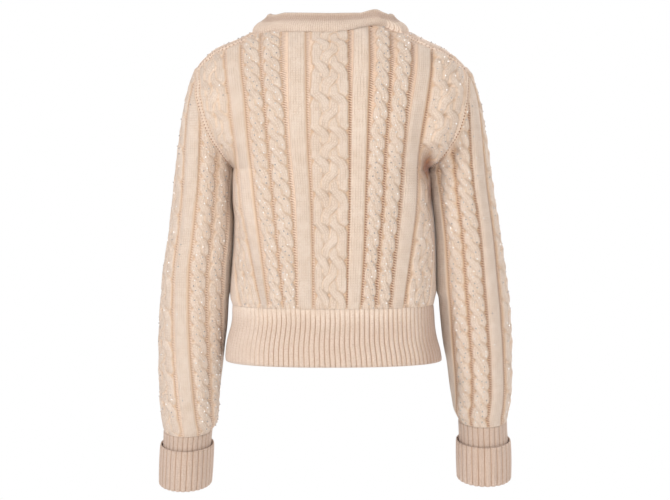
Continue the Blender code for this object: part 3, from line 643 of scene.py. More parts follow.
def build(name, points, faces, stitch=None, painted_shading=None, material=None, smooth=True, rim=None, calm=None):
    """A mesh object from points in millimetres and faces of four corners, where a repeated
    corner makes a triangle."""
    key = np.round(points / 0.02).astype(np.int64)
    _, first, back = np.unique(key, axis=0, return_index=True, return_inverse=True)
    back = back.ravel()
    faces = back[faces]
    nxt = np.roll(faces, -1, 1)
    keep = faces != nxt
    count = keep.sum(1)
    cross = (faces[:, 0] == faces[:, 2]) | (faces[:, 1] == faces[:, 3])
    good = (count >= 3) & ~(cross & (count == 4))
    # a quad folded onto its own diagonal has no area
    faces, keep, count = faces[good], keep[good], count[good]
    flat = (count == 3) & np.array([len(set(f)) < 3 for f in faces.tolist()]) if len(faces) < 1 else np.zeros(len(faces), bool)
    faces, keep, count = faces[~flat], keep[~flat], count[~flat]
    loops = faces[keep]
    points = points[first]
    mesh = bpy.data.meshes.new(name)
    mesh.vertices.add(len(points))
    mesh.vertices.foreach_set("co", (points * MM).astype(np.float32).ravel())
    starts = np.concatenate([[0], np.cumsum(count)[:-1]])
    # the direction of the whole: outward faces
    tri = np.stack([loops[starts], loops[starts + 1], loops[starts + 2]], 1)
    p = points[tri]
    volume = np.einsum("ij,ij->i", p[:, 0], np.cross(p[:, 1], p[:, 2])).sum()
    quad = count == 4
    tri2 = np.stack([loops[starts[quad]], loops[starts[quad] + 2], loops[starts[quad] + 3]], 1)
    p = points[tri2]
    volume += np.einsum("ij,ij->i", p[:, 0], np.cross(p[:, 1], p[:, 2])).sum()
    if volume < 0:
        order = np.concatenate([starts[:, None] + np.array([[0, 1, 2, 3]])], 1)
        order = np.where(np.arange(4)[None] < count[:, None], starts[:, None] + count[:, None] - 1 - np.arange(4)[None], -1)
        loops = loops[order[order >= 0]]
    mesh.loops.add(len(loops))
    mesh.loops.foreach_set("vertex_index", loops.astype(np.int32))
    mesh.polygons.add(len(starts))
    mesh.polygons.foreach_set("loop_start", starts.astype(np.int32))
    mesh.polygons.foreach_set("loop_total", count.astype(np.int32))
    mesh.update(calc_edges=True)
    mesh.validate()
    if smooth:
        mesh.shade_smooth()
    if rim is not None:
        rim = rim[first]
        ends = np.empty(2 * len(mesh.edges), np.int32)
        mesh.edges.foreach_get("vertices", ends)
        crisp = rim[ends].reshape(-1, 2).all(1)
        mesh.attributes.new("sharp_edge", "BOOLEAN", "EDGE").data.foreach_set("value", crisp)
    if calm is None and stitch is not None:
        calm = np.ones(len(stitch))
    for label, values in (("stitch", stitch), ("painted_shading", painted_shading), ("calm", None if calm is None else np.stack([calm] * 3, 1))):
        if values is not None:
            attribute = mesh.attributes.new(label, "FLOAT_VECTOR", "POINT")
            attribute.data.foreach_set("vector", values[first].astype(np.float32).ravel())
    obj = bpy.data.objects.new(name, mesh)
    bpy.context.scene.collection.objects.link(obj)
    if material:
        mesh.materials.append(material)
    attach(obj, "root")
    return obj


def near_edge(points, line):
    """For each point, how far it is from a line of points, and how far along the line."""
    along = np.concatenate([[0], np.cumsum(np.linalg.norm(np.diff(line, axis=0), axis=1))])
    tree = kdtree.KDTree(len(line))
    for i, p in enumerate(line):
        tree.insert(p, i)
    tree.balance()
    flat = points.reshape(-1, 3)
    away, where = np.zeros(len(flat)), np.zeros(len(flat))
    for i, p in enumerate(flat):
        _, j, d = tree.find(p)
        away[i], where[i] = d, along[j]
    return away.reshape(points.shape[:-1]), where.reshape(points.shape[:-1])


# ---------------------------------------------------------------------------------------
# Materials
# ---------------------------------------------------------------------------------------
class Nodes:
    """Short names for the shader nodes that the materials below use."""

    def __init__(self, name):
        self.material = bpy.data.materials.new(name)
        self.material.use_nodes = True
        self.tree = self.material.node_tree
        self.shader = self.tree.nodes["Principled BSDF"]

    def new(self, kind, **settings):
        node = self.tree.nodes.new(kind)
        for key, value in settings.items():
            setattr(node, key, value)
        return node

    def link(self, a, b):
        self.tree.links.new(a, b)

    def math(self, operation, a, b=None, c=None, clamp=False):
        node = self.new("ShaderNodeMath", operation=operation, use_clamp=clamp)
        for socket, value in zip(node.inputs, (a, b, c)):
            if value is None:
                continue
            if isinstance(value, (int, float)):
                socket.default_value = value
            else:
                self.link(value, socket)
        return node.outputs[0]

    def attribute(self, name):
        node = self.new("ShaderNodeAttribute", attribute_name=name)
        split = self.new("ShaderNodeSeparateXYZ")
        self.link(node.outputs["Vector"], split.inputs[0])
        return split.outputs

    def noise(self, scale, detail=3.0, rough=0.6, stretch=None):
        place = self.new("ShaderNodeTexCoord").outputs["Object"]
        if stretch:
            mapping = self.new("ShaderNodeMapping")
            mapping.inputs["Scale"].default_value = stretch
            self.link(place, mapping.inputs["Vector"])
            place = mapping.outputs[0]
        node = self.new("ShaderNodeTexNoise")
        node.inputs["Scale"].default_value = scale
        node.inputs["Detail"].default_value = detail
        node.inputs["Roughness"].default_value = rough
        self.link(place, node.inputs["Vector"])
        return node.outputs["Fac"]

    def mix(self, amount, a, b, blend="MIX"):
        node = self.new("ShaderNodeMix", data_type="RGBA", blend_type=blend)
        for socket, value in ((node.inputs[0], amount), (node.inputs[6], a), (node.inputs[7], b)):
            if isinstance(value, (int, float)):
                socket.default_value = value
            elif isinstance(value, tuple):
                socket.default_value = (*value, 1.0)
            else:
                self.link(value, socket)
        return node.outputs[2]

    def smooth(self, value, low, high):
        node = self.new("ShaderNodeMapRange", interpolation_type="SMOOTHSTEP")
        self.link(value, node.inputs["Value"])
        node.inputs["From Min"].default_value = low
        node.inputs["From Max"].default_value = high
        return node.outputs[0]


def wool(name, light, deep_shade, darkest_shade, bump=0.9, contrast=1.0):
    """Knitted wool: V stitches whose legs lie side by side, or the rungs and holes of the
    purl ground, soft fibre, and painted shade: a deeper colour where the cloth is sunk and
    between stitches, near black in holes, and a warm tint for bounced light in shaded valleys."""
    n = Nodes(name)
    across, up, kind = n.attribute("stitch")
    hollow_shade, hole_shade, shade = n.attribute("painted_shading")
    calm = n.attribute("calm")[0]
    lost = n.math("SUBTRACT", 1.0, calm)
    wobble = n.math("MULTIPLY_ADD", n.noise(230.0, 2.0), 0.36, -0.18)
    u = n.math("ADD", across, wobble)
    v = n.math("ADD", up, n.math("MULTIPLY", wobble, 0.8))
    # knit: two slanting legs to each stitch
    a = n.math("ABSOLUTE", n.math("MULTIPLY_ADD", n.math("FRACT", u), 2.0, -1.0))
    phase = n.math("FRACT", n.math("MULTIPLY_ADD", a, -0.55, v))
    t = n.math("MULTIPLY_ADD", phase, 2.0, -1.0)
    lengthways = n.math("SUBTRACT", 1.0, n.math("MULTIPLY", t, t))
    s = n.math("MULTIPLY_ADD", a, 2.0, -1.0)
    sideways = n.math("SUBTRACT", 1.0, n.math("MULTIPLY", s, s))
    legs = n.math("MULTIPLY", n.math("POWER", n.math("MAXIMUM", sideways, 0.0), 0.6),
                  n.math("MULTIPLY_ADD", lengthways, 0.34, 0.66))
    # painted shadow: a small one where each V sits in the one below, and a faint line between the columns
    out_of = n.math("SUBTRACT", 1.0, n.math("ABSOLUTE", t))
    apart = n.math("SQRT", n.math("ADD", n.math("MULTIPLY", a, a), n.math("MULTIPLY", out_of, out_of)))
    dimple = n.math("SUBTRACT", 1.0, n.smooth(apart, 0.25, 0.7))
    stay = n.math("MULTIPLY", n.smooth(a, 0.5, 1.0), n.math("MULTIPLY_ADD", lengthways, -0.25, 0.9))
    dimple = n.math("MAXIMUM", n.math("MULTIPLY", dimple, 0.45), stay)
    knitted = n.math("MULTIPLY", n.math("SUBTRACT", 1.0, kind),
                     n.math("MULTIPLY_ADD", n.smooth(n.noise(70.0, 2.0), 0.36, 0.62), 0.65, 0.35))
    knitted = n.math("MULTIPLY", knitted, calm)
    # where the stitches run together, painted shade fills in for their lost shadows
    lost = n.math("MULTIPLY", lost, n.math("MULTIPLY_ADD", hollow_shade, 0.4, 0.6), clamp=True)
    knit_gap_shade = n.math("MULTIPLY_ADD", knitted, n.math("MAXIMUM", dimple, stay), n.math("MULTIPLY", lost, 0.8), clamp=True)
    # purl: rungs across, with a hole between each two
    r = n.math("MULTIPLY_ADD", n.math("FRACT", v), 2.0, -1.0)
    rungs = n.math("SUBTRACT", 1.0, n.math("MULTIPLY", r, r))
    w = n.math("ABSOLUTE", n.math("MULTIPLY_ADD", n.math("FRACT", n.math("ADD", u, 0.25)), 2.0, -1.0))
    hole = n.math("MULTIPLY", n.smooth(n.math("SUBTRACT", 1.0, rungs), 0.14, 0.62),
                  n.smooth(w, 0.3, 0.72))
    purl = n.math("SUBTRACT", n.math("MULTIPLY", rungs, 0.30), n.math("MULTIPLY", hole, 0.6))
    height = n.new("ShaderNodeMix", data_type="FLOAT")
    n.link(kind, height.inputs[0])
    n.link(legs, height.inputs[2])
    n.link(purl, height.inputs[3])
    height = n.math("MULTIPLY", height.outputs[0], calm)
    fibre = n.noise(1500.0, 4.0, 0.7)
    fluff = n.noise(420.0, 3.0, 0.6)
    total = n.math("ADD", height, n.math("MULTIPLY_ADD", fibre, 0.22, n.math("MULTIPLY", fluff, 0.18)))
    node = n.new("ShaderNodeBump")
    node.inputs["Strength"].default_value = bump
    node.inputs["Distance"].default_value = 0.0016
    n.link(total, node.inputs["Height"])
    n.link(node.outputs[0], n.shader.inputs["Normal"])
    # colour: fibre and random patches, then painted shade in sunk parts, between stitches and in holes
    patchy = n.noise(26.0, 3.0, 0.55)
    base = n.mix(n.smooth(patchy, 0.35, 0.68), light, tuple(c * f for c, f in zip(light, (0.965, 0.945, 0.925))))
    base = n.mix(n.math("MULTIPLY", n.smooth(fibre, 0.35, 0.75), 0.28), base, tuple(min(1.0, c * 1.10) for c in light))
    base = n.mix(n.math("MULTIPLY", n.smooth(fluff, 0.42, 0.75), 0.22), base, deep_shade)
    speckle = n.noise(820.0, 1.0)
    base = n.mix(n.math("MULTIPLY", n.smooth(speckle, 0.48, 0.70), 0.42), base, deep_shade)
    # painted shade between the rungs and the stitches, and in sunk parts
    rung_gap_shade = n.math("MULTIPLY", n.math("SUBTRACT", 1.0, rungs),
                      n.math("MULTIPLY", n.math("MULTIPLY", kind, calm), n.math("MULTIPLY_ADD", hollow_shade, 0.5, 0.5)))
    stitch_shade = n.math("MULTIPLY", n.math("ADD", knit_gap_shade, rung_gap_shade), contrast)
    sunk_shade = n.math("ADD", n.math("MULTIPLY", hollow_shade, 0.8), n.math("MULTIPLY", stitch_shade, 0.5), clamp=True)
    base = n.mix(sunk_shade, base, deep_shade)
    # painted shadow in each stitch's dimple, and where the stitches are lost
    base = n.mix(n.math("MULTIPLY", n.math("MULTIPLY_ADD", knitted, dimple, lost), 0.55 * contrast), base,
                 tuple(c * 0.60 for c in deep_shade))
    # painted near-black shade in the holes
    gap = n.math("MULTIPLY", n.math("MULTIPLY", hole_shade, calm), hole, clamp=True)
    base = n.mix(gap, base, darkest_shade)
    # painted shade over whole areas; below 0 a warm tint for bounced light, above 1 painted deep shadow
    base = n.mix(n.math("MULTIPLY", shade, 1.0, clamp=True), base, n.mix(1.0, base, (0.72, 0.66, 0.64), "MULTIPLY"))
    base = n.mix(n.math("MULTIPLY", shade, -1.0, clamp=True), base, n.mix(1.0, base, (1.16, 0.84, 0.64), "MULTIPLY"))
    base = n.mix(n.math("SUBTRACT", shade, 1.0, clamp=True), base, tuple(c * 1.3 for c in darkest_shade))
    n.link(base, n.shader.inputs["Base Color"])
    n.shader.inputs["Roughness"].default_value = 0.92
    n.shader.inputs["Specular IOR Level"].default_value = 0.18
    n.shader.inputs["Sheen Weight"].default_value = 0.28
    n.shader.inputs["Sheen Roughness"].default_value = 0.45
    n.shader.inputs["Sheen Tint"].default_value = (0.96, 0.92, 0.97, 1.0)
    return n.material


# the second colour is painted shade for hollows and stitch gaps, the third for holes and deep shadow
knit_wool = wool("knit_wool", (0.785, 0.664, 0.564), (0.60, 0.40, 0.26), (0.20, 0.075, 0.035))
rib_wool = wool("rib_wool", (0.81, 0.685, 0.58), (0.50, 0.33, 0.22), (0.20, 0.08, 0.04), bump=0.8, contrast=0.3)


def pearl():
    n = Nodes("bead_pearl")
    tint = n.noise(300.0, 1.0)
    clear = n.mix(n.smooth(tint, 0.3, 0.7), (0.52, 0.47, 0.44), (0.30, 0.265, 0.25))
    # noise makes some beads near-white, a painted glint; the rest are clear grey
    painted_glint = n.smooth(n.noise(75.0, 1.0), 0.50, 0.56)
    n.link(n.mix(painted_glint, clear, (0.95, 0.90, 0.87)), n.shader.inputs["Base Color"])
    rough = n.math("MULTIPLY_ADD", n.noise(900.0, 2.0), 0.12, 0.10)
    n.link(rough, n.shader.inputs["Roughness"])
    n.shader.inputs["Specular IOR Level"].default_value = 0.9
    n.shader.inputs["Coat Weight"].default_value = 1.0
    n.shader.inputs["Coat Roughness"].default_value = 0.06
    return n.material


def horn():
    n = Nodes("button_shell")
    cloud = n.noise(110.0, 4.0, 0.6)
    colour = n.mix(n.smooth(cloud, 0.3, 0.72), (0.86, 0.79, 0.71), (0.70, 0.60, 0.52))
    # painted dark shade in the four thread holes
    _, dents, _ = n.attribute("painted_shading")
    colour = n.mix(n.math("MULTIPLY", dents, 0.85), colour, (0.20, 0.13, 0.10))
    n.link(colour, n.shader.inputs["Base Color"])
    n.link(n.math("MULTIPLY_ADD", cloud, 0.15, 0.18), n.shader.inputs["Roughness"])
    bump = n.new("ShaderNodeBump")
    bump.inputs["Strength"].default_value = 0.15
    bump.inputs["Distance"].default_value = 0.0003
    n.link(cloud, bump.inputs["Height"])
    n.link(bump.outputs[0], n.shader.inputs["Normal"])
    return n.material


bead_material, button_material = pearl(), horn()

# ---------------------------------------------------------------------------------------
# The back and the fronts
# ---------------------------------------------------------------------------------------
def spread_columns(zones):
    """(zone, share of it) for each column, from the number of columns in each zone."""
    out = []
    for i, n in enumerate(zones):
        out += [(i, k / n) for k in range(n)]
    out.append((len(zones) - 1, 1.0))
    return out


def stations(side, front):
    """The edges of a side's bands and cables, as lengths round the section at each of HEIGHTS."""
    q = quarters[(side, front)]
    full = q.arc[:, -1]
    if not front:
        table = BACK_LEFT if side > 0 else BACK_RIGHT
        marks = [np.zeros(len(HEIGHTS))]
        for key in table["columns"][1:]:
            marks.append(q.arc_at_x(HEIGHTS, smooth_table(table, key)(HEIGHTS)))
        marks.append(marks[-1] + smooth_table(BACK_SIDE_WIDTH, "width")(HEIGHTS) + (6.0 if side < 0 else 0.0))
        marks.append(np.maximum(marks[-1] + 3.0, full + 2.0))
        return np.array(marks)
    start = q.arc_at_x(HEIGHTS, np.full(len(HEIGHTS), BAND_HIGH + SEAM))
    # the fronts: rope, rope, band, plait, band, in shares of the width
    shares = FRONT_PLAN
    width = np.minimum(full, 190.0) - start
    marks = [start + width * f for f in shares]
    marks.append(np.maximum(marks[-1] + 3.0, full + 2.0))
    return np.array(marks)


FRONT_PLAN = (0.0, 0.03, 0.17, 0.19, 0.33, 0.36, 0.49, 0.52, 0.80, 0.83, 0.955)
BACK_ZONES = (20, 6, 14, 6, 18, 4, 17, 6, 12, 3, 26, 14)
FRONT_ZONES = (4, 14, 3, 14, 4, 10, 4, 22, 4, 10, 7)


def body_relief(side, front, across, z, marks):
    """The cables and bands at lengths across and heights z."""
    up = (climb_front if front else climb_back)(z)
    m = [np.interp(z, HEIGHTS, row) for row in marks]
    toward_left = side * (-1.0 if front else 1.0)   # the viewer's left when facing the cloth
    r = Relief(np.broadcast(across, z).shape)
    r.ground(across, up)
    if not front:
        braid, b1i, b1o, r1i, r1o, r2i, r2o, b2i, b2o, si, so, _ = m[1:]
        for a, b, height in ((b1i, b1o, 0.9), (b2i, b2o, 0.9), (so + 1.0, so + 60.0, 0.3)):
            a, b = (a, b) if toward_left > 0 else (-b, -a)
            r.band(toward_left * across, a, b, up, height)
        r.cable(toward_left * across, -braid, braid, up - 5.5, "plait")
        for a, b, phase in ((r1i, r1o, 0.0), (r2i, r2o, 7.0)):
            a, b = (a, b) if toward_left > 0 else (-b, -a)
            r.cable(toward_left * across, a, b, up + phase, "rope")
        a, b = (si, so) if toward_left > 0 else (-so, -si)
        r.cable(toward_left * across, a, b, up + 14.0, "plait", 0.34 if side > 0 else 1.15)
        # the gutters' painted shade is light at the wearer's left and heavy at the right, away from the light
        for a, b in ((braid, b1i), (b1o, r1i), (r1o, r2i), (r2o, b2i), (b2o, si)):
            r.gutter(across, a, b, up, toward_left, 0.45 if side > 0 else 0.95)
    else:
        _, r1i, r1o, r2i, r2o, b1i, b1o, pi, po, b2i, b2o, _ = m
        for a, b, height in ((b1i, b1o, 0.9), (b2i, b2o + 60.0, 0.5)):
            a, b = (a, b) if toward_left > 0 else (-b, -a)
            r.band(toward_left * across, a, b, up, height)
        for a, b, kind, phase in ((r1i, r1o, "rope", 0.0), (r2i, r2o, "rope", 9.0), (pi, po, "plait", 4.0)):
            a, b = (a, b) if toward_left > 0 else (-b, -a)
            r.cable(toward_left * across, a, b, up + phase, kind)
        for a, b in ((r1o, r2i), (r2o, b1i), (b1o, pi), (po, b2i)):
            r.gutter(across, a, b, up, toward_left)
    return r


def column_arc(column, marks, z):
    i, t = column
    return np.interp(z, HEIGHTS, marks[i] + (marks[i + 1] - marks[i]) * t)


def body_grid(sides, front, zones, rows_step):
    """The grid of a piece: rows by height, columns along its bands, both stopped at its edges."""
    gap = SEAM / 2
    columns = []
    marks = {s: stations(s, front) for s in sides}
    shares = spread_columns(zones)
    if len(sides) == 2:
        columns = [(-1, c) for c in shares[:0:-1]] + [(1, c) for c in shares]
    else:
        columns = [(sides[0], c) for c in shares]
    extra = (-(len(columns) - 1)) % 4
    assert extra == 0, f"columns {len(columns)}"
    low, high = HEM_SEAM_Z + gap, 1.5 if front else 8.0
    n_rows = int(math.ceil((high - low) / rows_step / 4)) * 4
    rows = low + (high - low) * np.linspace(0, 1, n_rows + 1)

    def edge_arc(side, z):
        q = quarters[(side, front)]
        return q.arc_at_angle(z, edge_angle(z, front)) - np.where((z <= UNDERARM_Z) | (z >= SHOULDER_TIP_Z), gap, 0.0)

    def path(side, c, z):
        return np.minimum(column_arc(c, marks[side], z), edge_arc(side, z))

    # where each column meets the neckline
    tops = np.zeros(len(columns))
    zz = np.linspace(-130.0, 1.6 if front else 9.0, 360)
    for k, (side, c) in enumerate(columns):
        a = quarters[(side, front)].angle(zz, path(side, c, zz))
        a = past_ridge(a, zz) if front else a
        over = zz - neckline_z(np.abs(a)) - (0.0 if front else 1.3 * neck_rise(bare_skin(a, zz)[:, 0])
                                                  + 1.25 * neck_lift(bare_skin(a, zz)[:, 0]))
        j = np.argmax(over > 0) if (over > 0).any() else len(zz) - 1
        f = over[j - 1] / (over[j - 1] - over[j]) if over[j] > 0 else 1.0
        tops[k] = zz[j - 1] + (zz[j] - zz[j - 1]) * f - gap
    z = np.minimum(rows[:, None], tops[None, :])
    arc = np.zeros_like(z)
    angle = np.zeros_like(z)
    side_of = np.zeros_like(z)
    for k, (side, c) in enumerate(columns):
        arc[:, k] = path(side, c, z[:, k])
        side_of[:, k] = side
    for side in sides:
        pick = side_of[0] == side
        angle[:, pick] = quarters[(side, front)].angle(z[:, pick], arc[:, pick])
    angle = past_ridge(angle, z) if front else angle
    return dict(columns=columns, marks=marks, z=z, arc=arc, angle=angle, side=side_of, front=front)


def body_piece(name, sides, front, zones, rows_step, over=False):
    g = body_grid(sides, front, zones, rows_step)
    z, arc, angle = g["z"], g["arc"], g["angle"]
    base, normal = skin(angle, z), skin_normal(angle, z)
    if front:
        base = base + normal * lap(base[..., 0], over)[..., None]
    else:  # a short deep crease runs down from under the right arm
        pressed = 6.0 * np.exp(-((base[..., 0] + 141.0) / 8.0) ** 2 - ((base[..., 2] + 200.0) / 22.0) ** 2)
        base = base - normal * pressed[..., None]
    r = Relief(z.shape)
    for side in sides:
        pick = g["side"][0] == side
        part = body_relief(side, front, arc[:, pick], z[:, pick], g["marks"][side])
        for key in ("h", "u", "v", "kind", "hollow_shade", "hole_shade", "shade"):
            getattr(r, key)[:, pick] = getattr(part, key)
    # edges: the relief dies away and a row of small holes runs beside the seam
    for side in sides:
        for zs in (np.linspace(UNDERARM_Z, SHOULDER_TIP_Z, 500), np.linspace(SHOULDER_TIP_Z, 0.0, 400)):
            if front or zs[-1] < -1.0:
                away, along = near_edge(base, skin(side * edge_angle(zs, front), zs))
                seam_effects(r, away, along)
                continue
            # the shoulder seam lies behind the crest of the shoulder, and the cloth rolls over
            own = body["left" if side > 0 else "right"]
            levels = np.linspace(-75.0, 8.0, 400)
            xs = np.linspace(200.0, 92.0, 500)
            crest = np.interp(xs, own(levels)[::-1], levels[::-1])
            drop = 3.5 if side > 0 else 6.0
            line_z = np.minimum(crest - drop * np.interp(xs, [92, 112, 185, 200], [1.0, 1.0, 0.9, 0.7]), 3.0)
            line = skin(angle_at(side * xs, line_z, False), line_z)
            away, along = near_edge(base, line)
            slope = np.gradient(line_z, xs)
            across = np.abs(base[..., 0])
            below = (np.interp(across, xs[::-1], line_z[::-1]) - z) / np.sqrt(1 + np.interp(across, xs[::-1], slope[::-1]) ** 2)
            mine = (base[..., 0] * side > 80.0) & (z > -62.0) & (away < 40.0)
            seam_effects(r, np.where(mine, below, 99.0), along, True)
            g.setdefault("rolled", np.zeros(z.shape, bool))
            g["rolled"] |= mine & (below < -1.0) & (across > 108.0) & (across < 182.0)
    turn = sides[0] * np.linspace(88, 172, 400) if front else np.linspace(-90, 90, 500)
    neck = skin(turn, neckline_z(np.abs(turn)))
    if not front:
        neck = skin(turn, neck[:, 2] + neck_rise(neck[:, 0]) + neck_lift(neck[:, 0]))
    away = near_edge(base, neck)[0]
    r.h = GROUND * 0.3 + (r.h - GROUND * 0.3) * (0.15 + 0.85 * step(away / 7.0))
    low = z - (HEM_SEAM_Z)
    pinch = step((low + 2.0 + 2.0 * uneven(29, base[..., 0] / 1.4)) / 12.0)
    r.h = r.h * pinch - 0.12 * (1 - pinch)
    knitted = (pinch < 0.35)
    r.kind = np.where(knitted, 0.0, r.kind)
    r.hollow_shade = r.hollow_shade * (0.35 + 0.65 * pinch)
    r.hole_shade = r.hole_shade * pinch
    if not front:  # the hem's ribs run a little way up into it, some further than others, with painted shade in their grooves
        levels = HEM_Z + (HEM_SEAM_Z - SEAM / 2 - HEM_Z) * np.linspace(0, 1, 21)
        ends = [quarters[(s, False)].arc_at_angle(levels, np.full(21, 90.0 - math.degrees(SEAM / 300.0))) for s in (-1, 1)]
        count = int(round((ends[0] + ends[1]).mean() / HEM_RIB))
        turns = (g["side"] * arc + ends[0][-1]) / (ends[0][-1] + ends[1][-1]) * count
        groove = 1 - np.abs(np.sin(math.pi * turns)) ** 0.30
        reach = (1 - step((low - 2.5 - 2.0 * uneven(31, base[..., 0] / 2.6)) / 4.0)) * (1 - 0.75 * step((base[..., 0] - 78.0) / 50.0))
        r.h = r.h - 1.3 * groove * reach
        r.hollow_shade = np.maximum(r.hollow_shade, np.clip(1.9 * groove ** 1.6 - 0.05, 0, 1) * 0.85 * reach)
    if not front or True:
        side_gap = np.where(z < UNDERARM_Z + 5, np.abs(np.stack([quarters[(s, front)].arc_at_angle(z, np.full(z.shape, 90.0)) for s in sides]).min(0) - arc), 99.0)
        r.h = np.where(side_gap < 5.0, GROUND * 0.2 + (r.h - GROUND * 0.2) * step(side_gap / 5.0), r.h)
    if front:  # beside the front band the cloth lies flat
        edge = arc - np.interp(z, HEIGHTS, g["marks"][sides[0]][0])
        r.h = r.h * (0.2 + 0.8 * step(edge / 4.0))
    if over:
        pass
    if not front:
        r.pit(base)
    own = sink_at(base)
    r.h = np.where(own < 0, r.h * np.exp(own / 0.8), r.h)
    sink = np.minimum(own, 0.7) + np.maximum(own - 0.7, 0.0) * step(low / 9.0)
    if front:
        sink = 0.4 + (sink - 0.4) * step((edge - 2.0) / 10.0)
    outer = base + normal * (r.h - sink)[..., None]
    inner = base - normal * INSIDE
    obj = shell(name + "_knit", outer, inner, r, material=knit_wool)
    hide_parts(name)
    g.update(outer=outer, normal=normal, relief=r, up=(climb_front if front else climb_back)(z))
    return obj, g


def seam_effects(r, away, along, rolled=False):
    """A seam's look beside a piece's edge: the relief dies away and a row of small holes, painted
    dark as shade, runs beside the seam. Where rolled, away is negative on the smooth roll beyond
    the seam, which gets a light painted shade, and there are two rows."""
    rows = (1.7, 5.1) if rolled else (3.0,)
    if rolled:
        roll = step((-away + 0.5) / 2.0)
        r.h = r.h * (1 - roll) + roll * (0.3 + 1.2 * step((-away - 1.0) / 5.0))
        r.kind = np.where(roll > 0.5, 0.0, r.kind)
        r.u, r.v = np.where(roll > 0.5, away / WALE, r.u), np.where(roll > 0.5, along / COURSE, r.v)
        r.hollow_shade, r.hole_shade = r.hollow_shade * (1 - roll), r.hole_shade * (1 - roll)
        r.shade = np.maximum(r.shade, 0.3 * roll)
        away = np.where(away > 0, away, 19.0 - away)
    r.h = r.h * (0.1 + 0.9 * step((away - rows[0] + 1.5) / 7.0)) - 0.3 * np.exp(-((away - 0.4) / 1.0) ** 2)
    beside = away < rows[-1] + 2.4
    hole_shade = sum(np.exp(-((away - at) / 1.6) ** 2) for at in rows)
    r.kind = np.where(beside, 0.6, r.kind)
    r.v = np.where(beside, along / 4.8, r.v)
    r.u = np.where(beside, (away - rows[0]) / 4.4 + 0.75, r.u)
    clear = np.clip((away - rows[-1] - 2.4) / 4.0, 0, 1)   # the painted dark spots and hollow shade fade out just past the seam
    r.hole_shade = np.where(beside, np.clip(hole_shade * 1.3, 0, 1), r.hole_shade * clear)
    r.hollow_shade = np.where(beside, 0.05 + 0.45 * np.clip(hole_shade, 0, 1), r.hollow_shade * clear + 0.08 * (1 - clear))
    for at in rows:
        r.h = r.h + 0.25 * np.exp(-((away - at + 2.0) / 0.8) ** 2) - 0.6 * np.exp(-((away - at - 0.4) / 1.2) ** 2)


pieces = {}
grids = {}
pieces["back"], grids["back"] = body_piece("back", (-1, 1), False, BACK_ZONES, 1.42)
for side, which in ((1, "front_left"), (-1, "front_right")):
    pieces[which], grids[which] = body_piece(which, (side,), True, FRONT_ZONES, 1.75, over=side < 0)

# ---------------------------------------------------------------------------------------
# Sleeves
# ---------------------------------------------------------------------------------------
SLEEVE_PLAN = dict(plait=27.0, band_in=32.0, band_out=56.0, rope_a_in=59.5, rope_a_out=84.0,
                   rope_b_in=88.0, rope_b_out=113.0, plain=118.0)
SLEEVE_ZONES = (17, 4, 11, 3, 16, 4, 15, 4, 22)   # the last is the plain underarm
SLEEVE_SHIFT = dict(left=dict(columns=("z", "arc"), rows=((-50.0, 18.0), (-250.0, 18.0), (-435.0, 25.0), (-535.0, 28.0),
                                                             (-600.0, 29.0))),
                    right=dict(columns=("z", "arc"), rows=((-50.0, 6.0), (-230.0, 6.0), (-390.0, 13.0), (-535.0, 4.0),
                                                           (-600.0, 2.0))))
TURNS = np.linspace(0, 180, 721)


def sleeve_ring(side, z, turn, grow=0.0):
    s = sleeves[side]
    sign = 1 if side == "left" else -1
    out, inner, depth = s["outer"](z), s["inner"](z), s["half_depth"](z)
    a, tilt = np.radians(turn), np.radians(s["tilt"](z))
    dx = ((out - inner) / 2 + grow) * np.cos(a)
    dy = (depth + grow) * np.sin(a)
    return np.stack(np.broadcast_arrays(sign * ((out + inner) / 2 + dx),
                                        s["middle_y"](z) + dy * np.cos(tilt), z - dy * np.sin(tilt)), -1)


def ring_normal(side, z, turn):
    along = sleeve_ring(side, z, turn + 1.0) - sleeve_ring(side, z, turn - 1.0)
    tilt = np.radians(sleeves[side]["tilt"](z))
    axis = np.stack(np.broadcast_arrays(0.0 * along[..., 0], np.sin(tilt), np.cos(tilt)), -1)
    n = unit(np.cross(along, axis))
    middle = (sleeve_ring(side, z, 0.0 * turn) + sleeve_ring(side, z, 0.0 * turn + 180.0)) / 2
    flip = ((sleeve_ring(side, z, turn) - middle) * n).sum(-1) < 0
    return np.where(flip[..., None], -n, n)


def armhole_point(side, turn):
    half = (SHOULDER_TIP_Z - UNDERARM_Z) / 2
    turn = np.mod(turn, 360.0)
    z = SHOULDER_TIP_Z - half * (1 - np.cos(np.radians(turn)))
    sign = 1.0 if side == "left" else -1.0
    a = sign * np.where(turn > 180.0, edge_angle(z, True), edge_angle(z, False))
    p = skin(a, z)
    n = skin_normal(a, z)
    # at the top and the bottom of the armhole the normal is taken across the seam
    for at, lift in ((0.0, -2.0), (180.0, 4.0)):
        dx = bare_skin(a, z + lift) - bare_skin(a, z)
        m = unit(np.cross(np.array([0, 1.0, 0]), dx * (1 if lift > 0 else -1)))
        m = np.where((m[..., :1] * sign) < 0, -m, m)
        w = np.clip(1 - np.minimum(np.abs(turn - at), 360 - np.abs(turn - at)) / 12.0, 0, 1)[..., None]
        n = unit(n * (1 - w) + m * w)
    return p, n


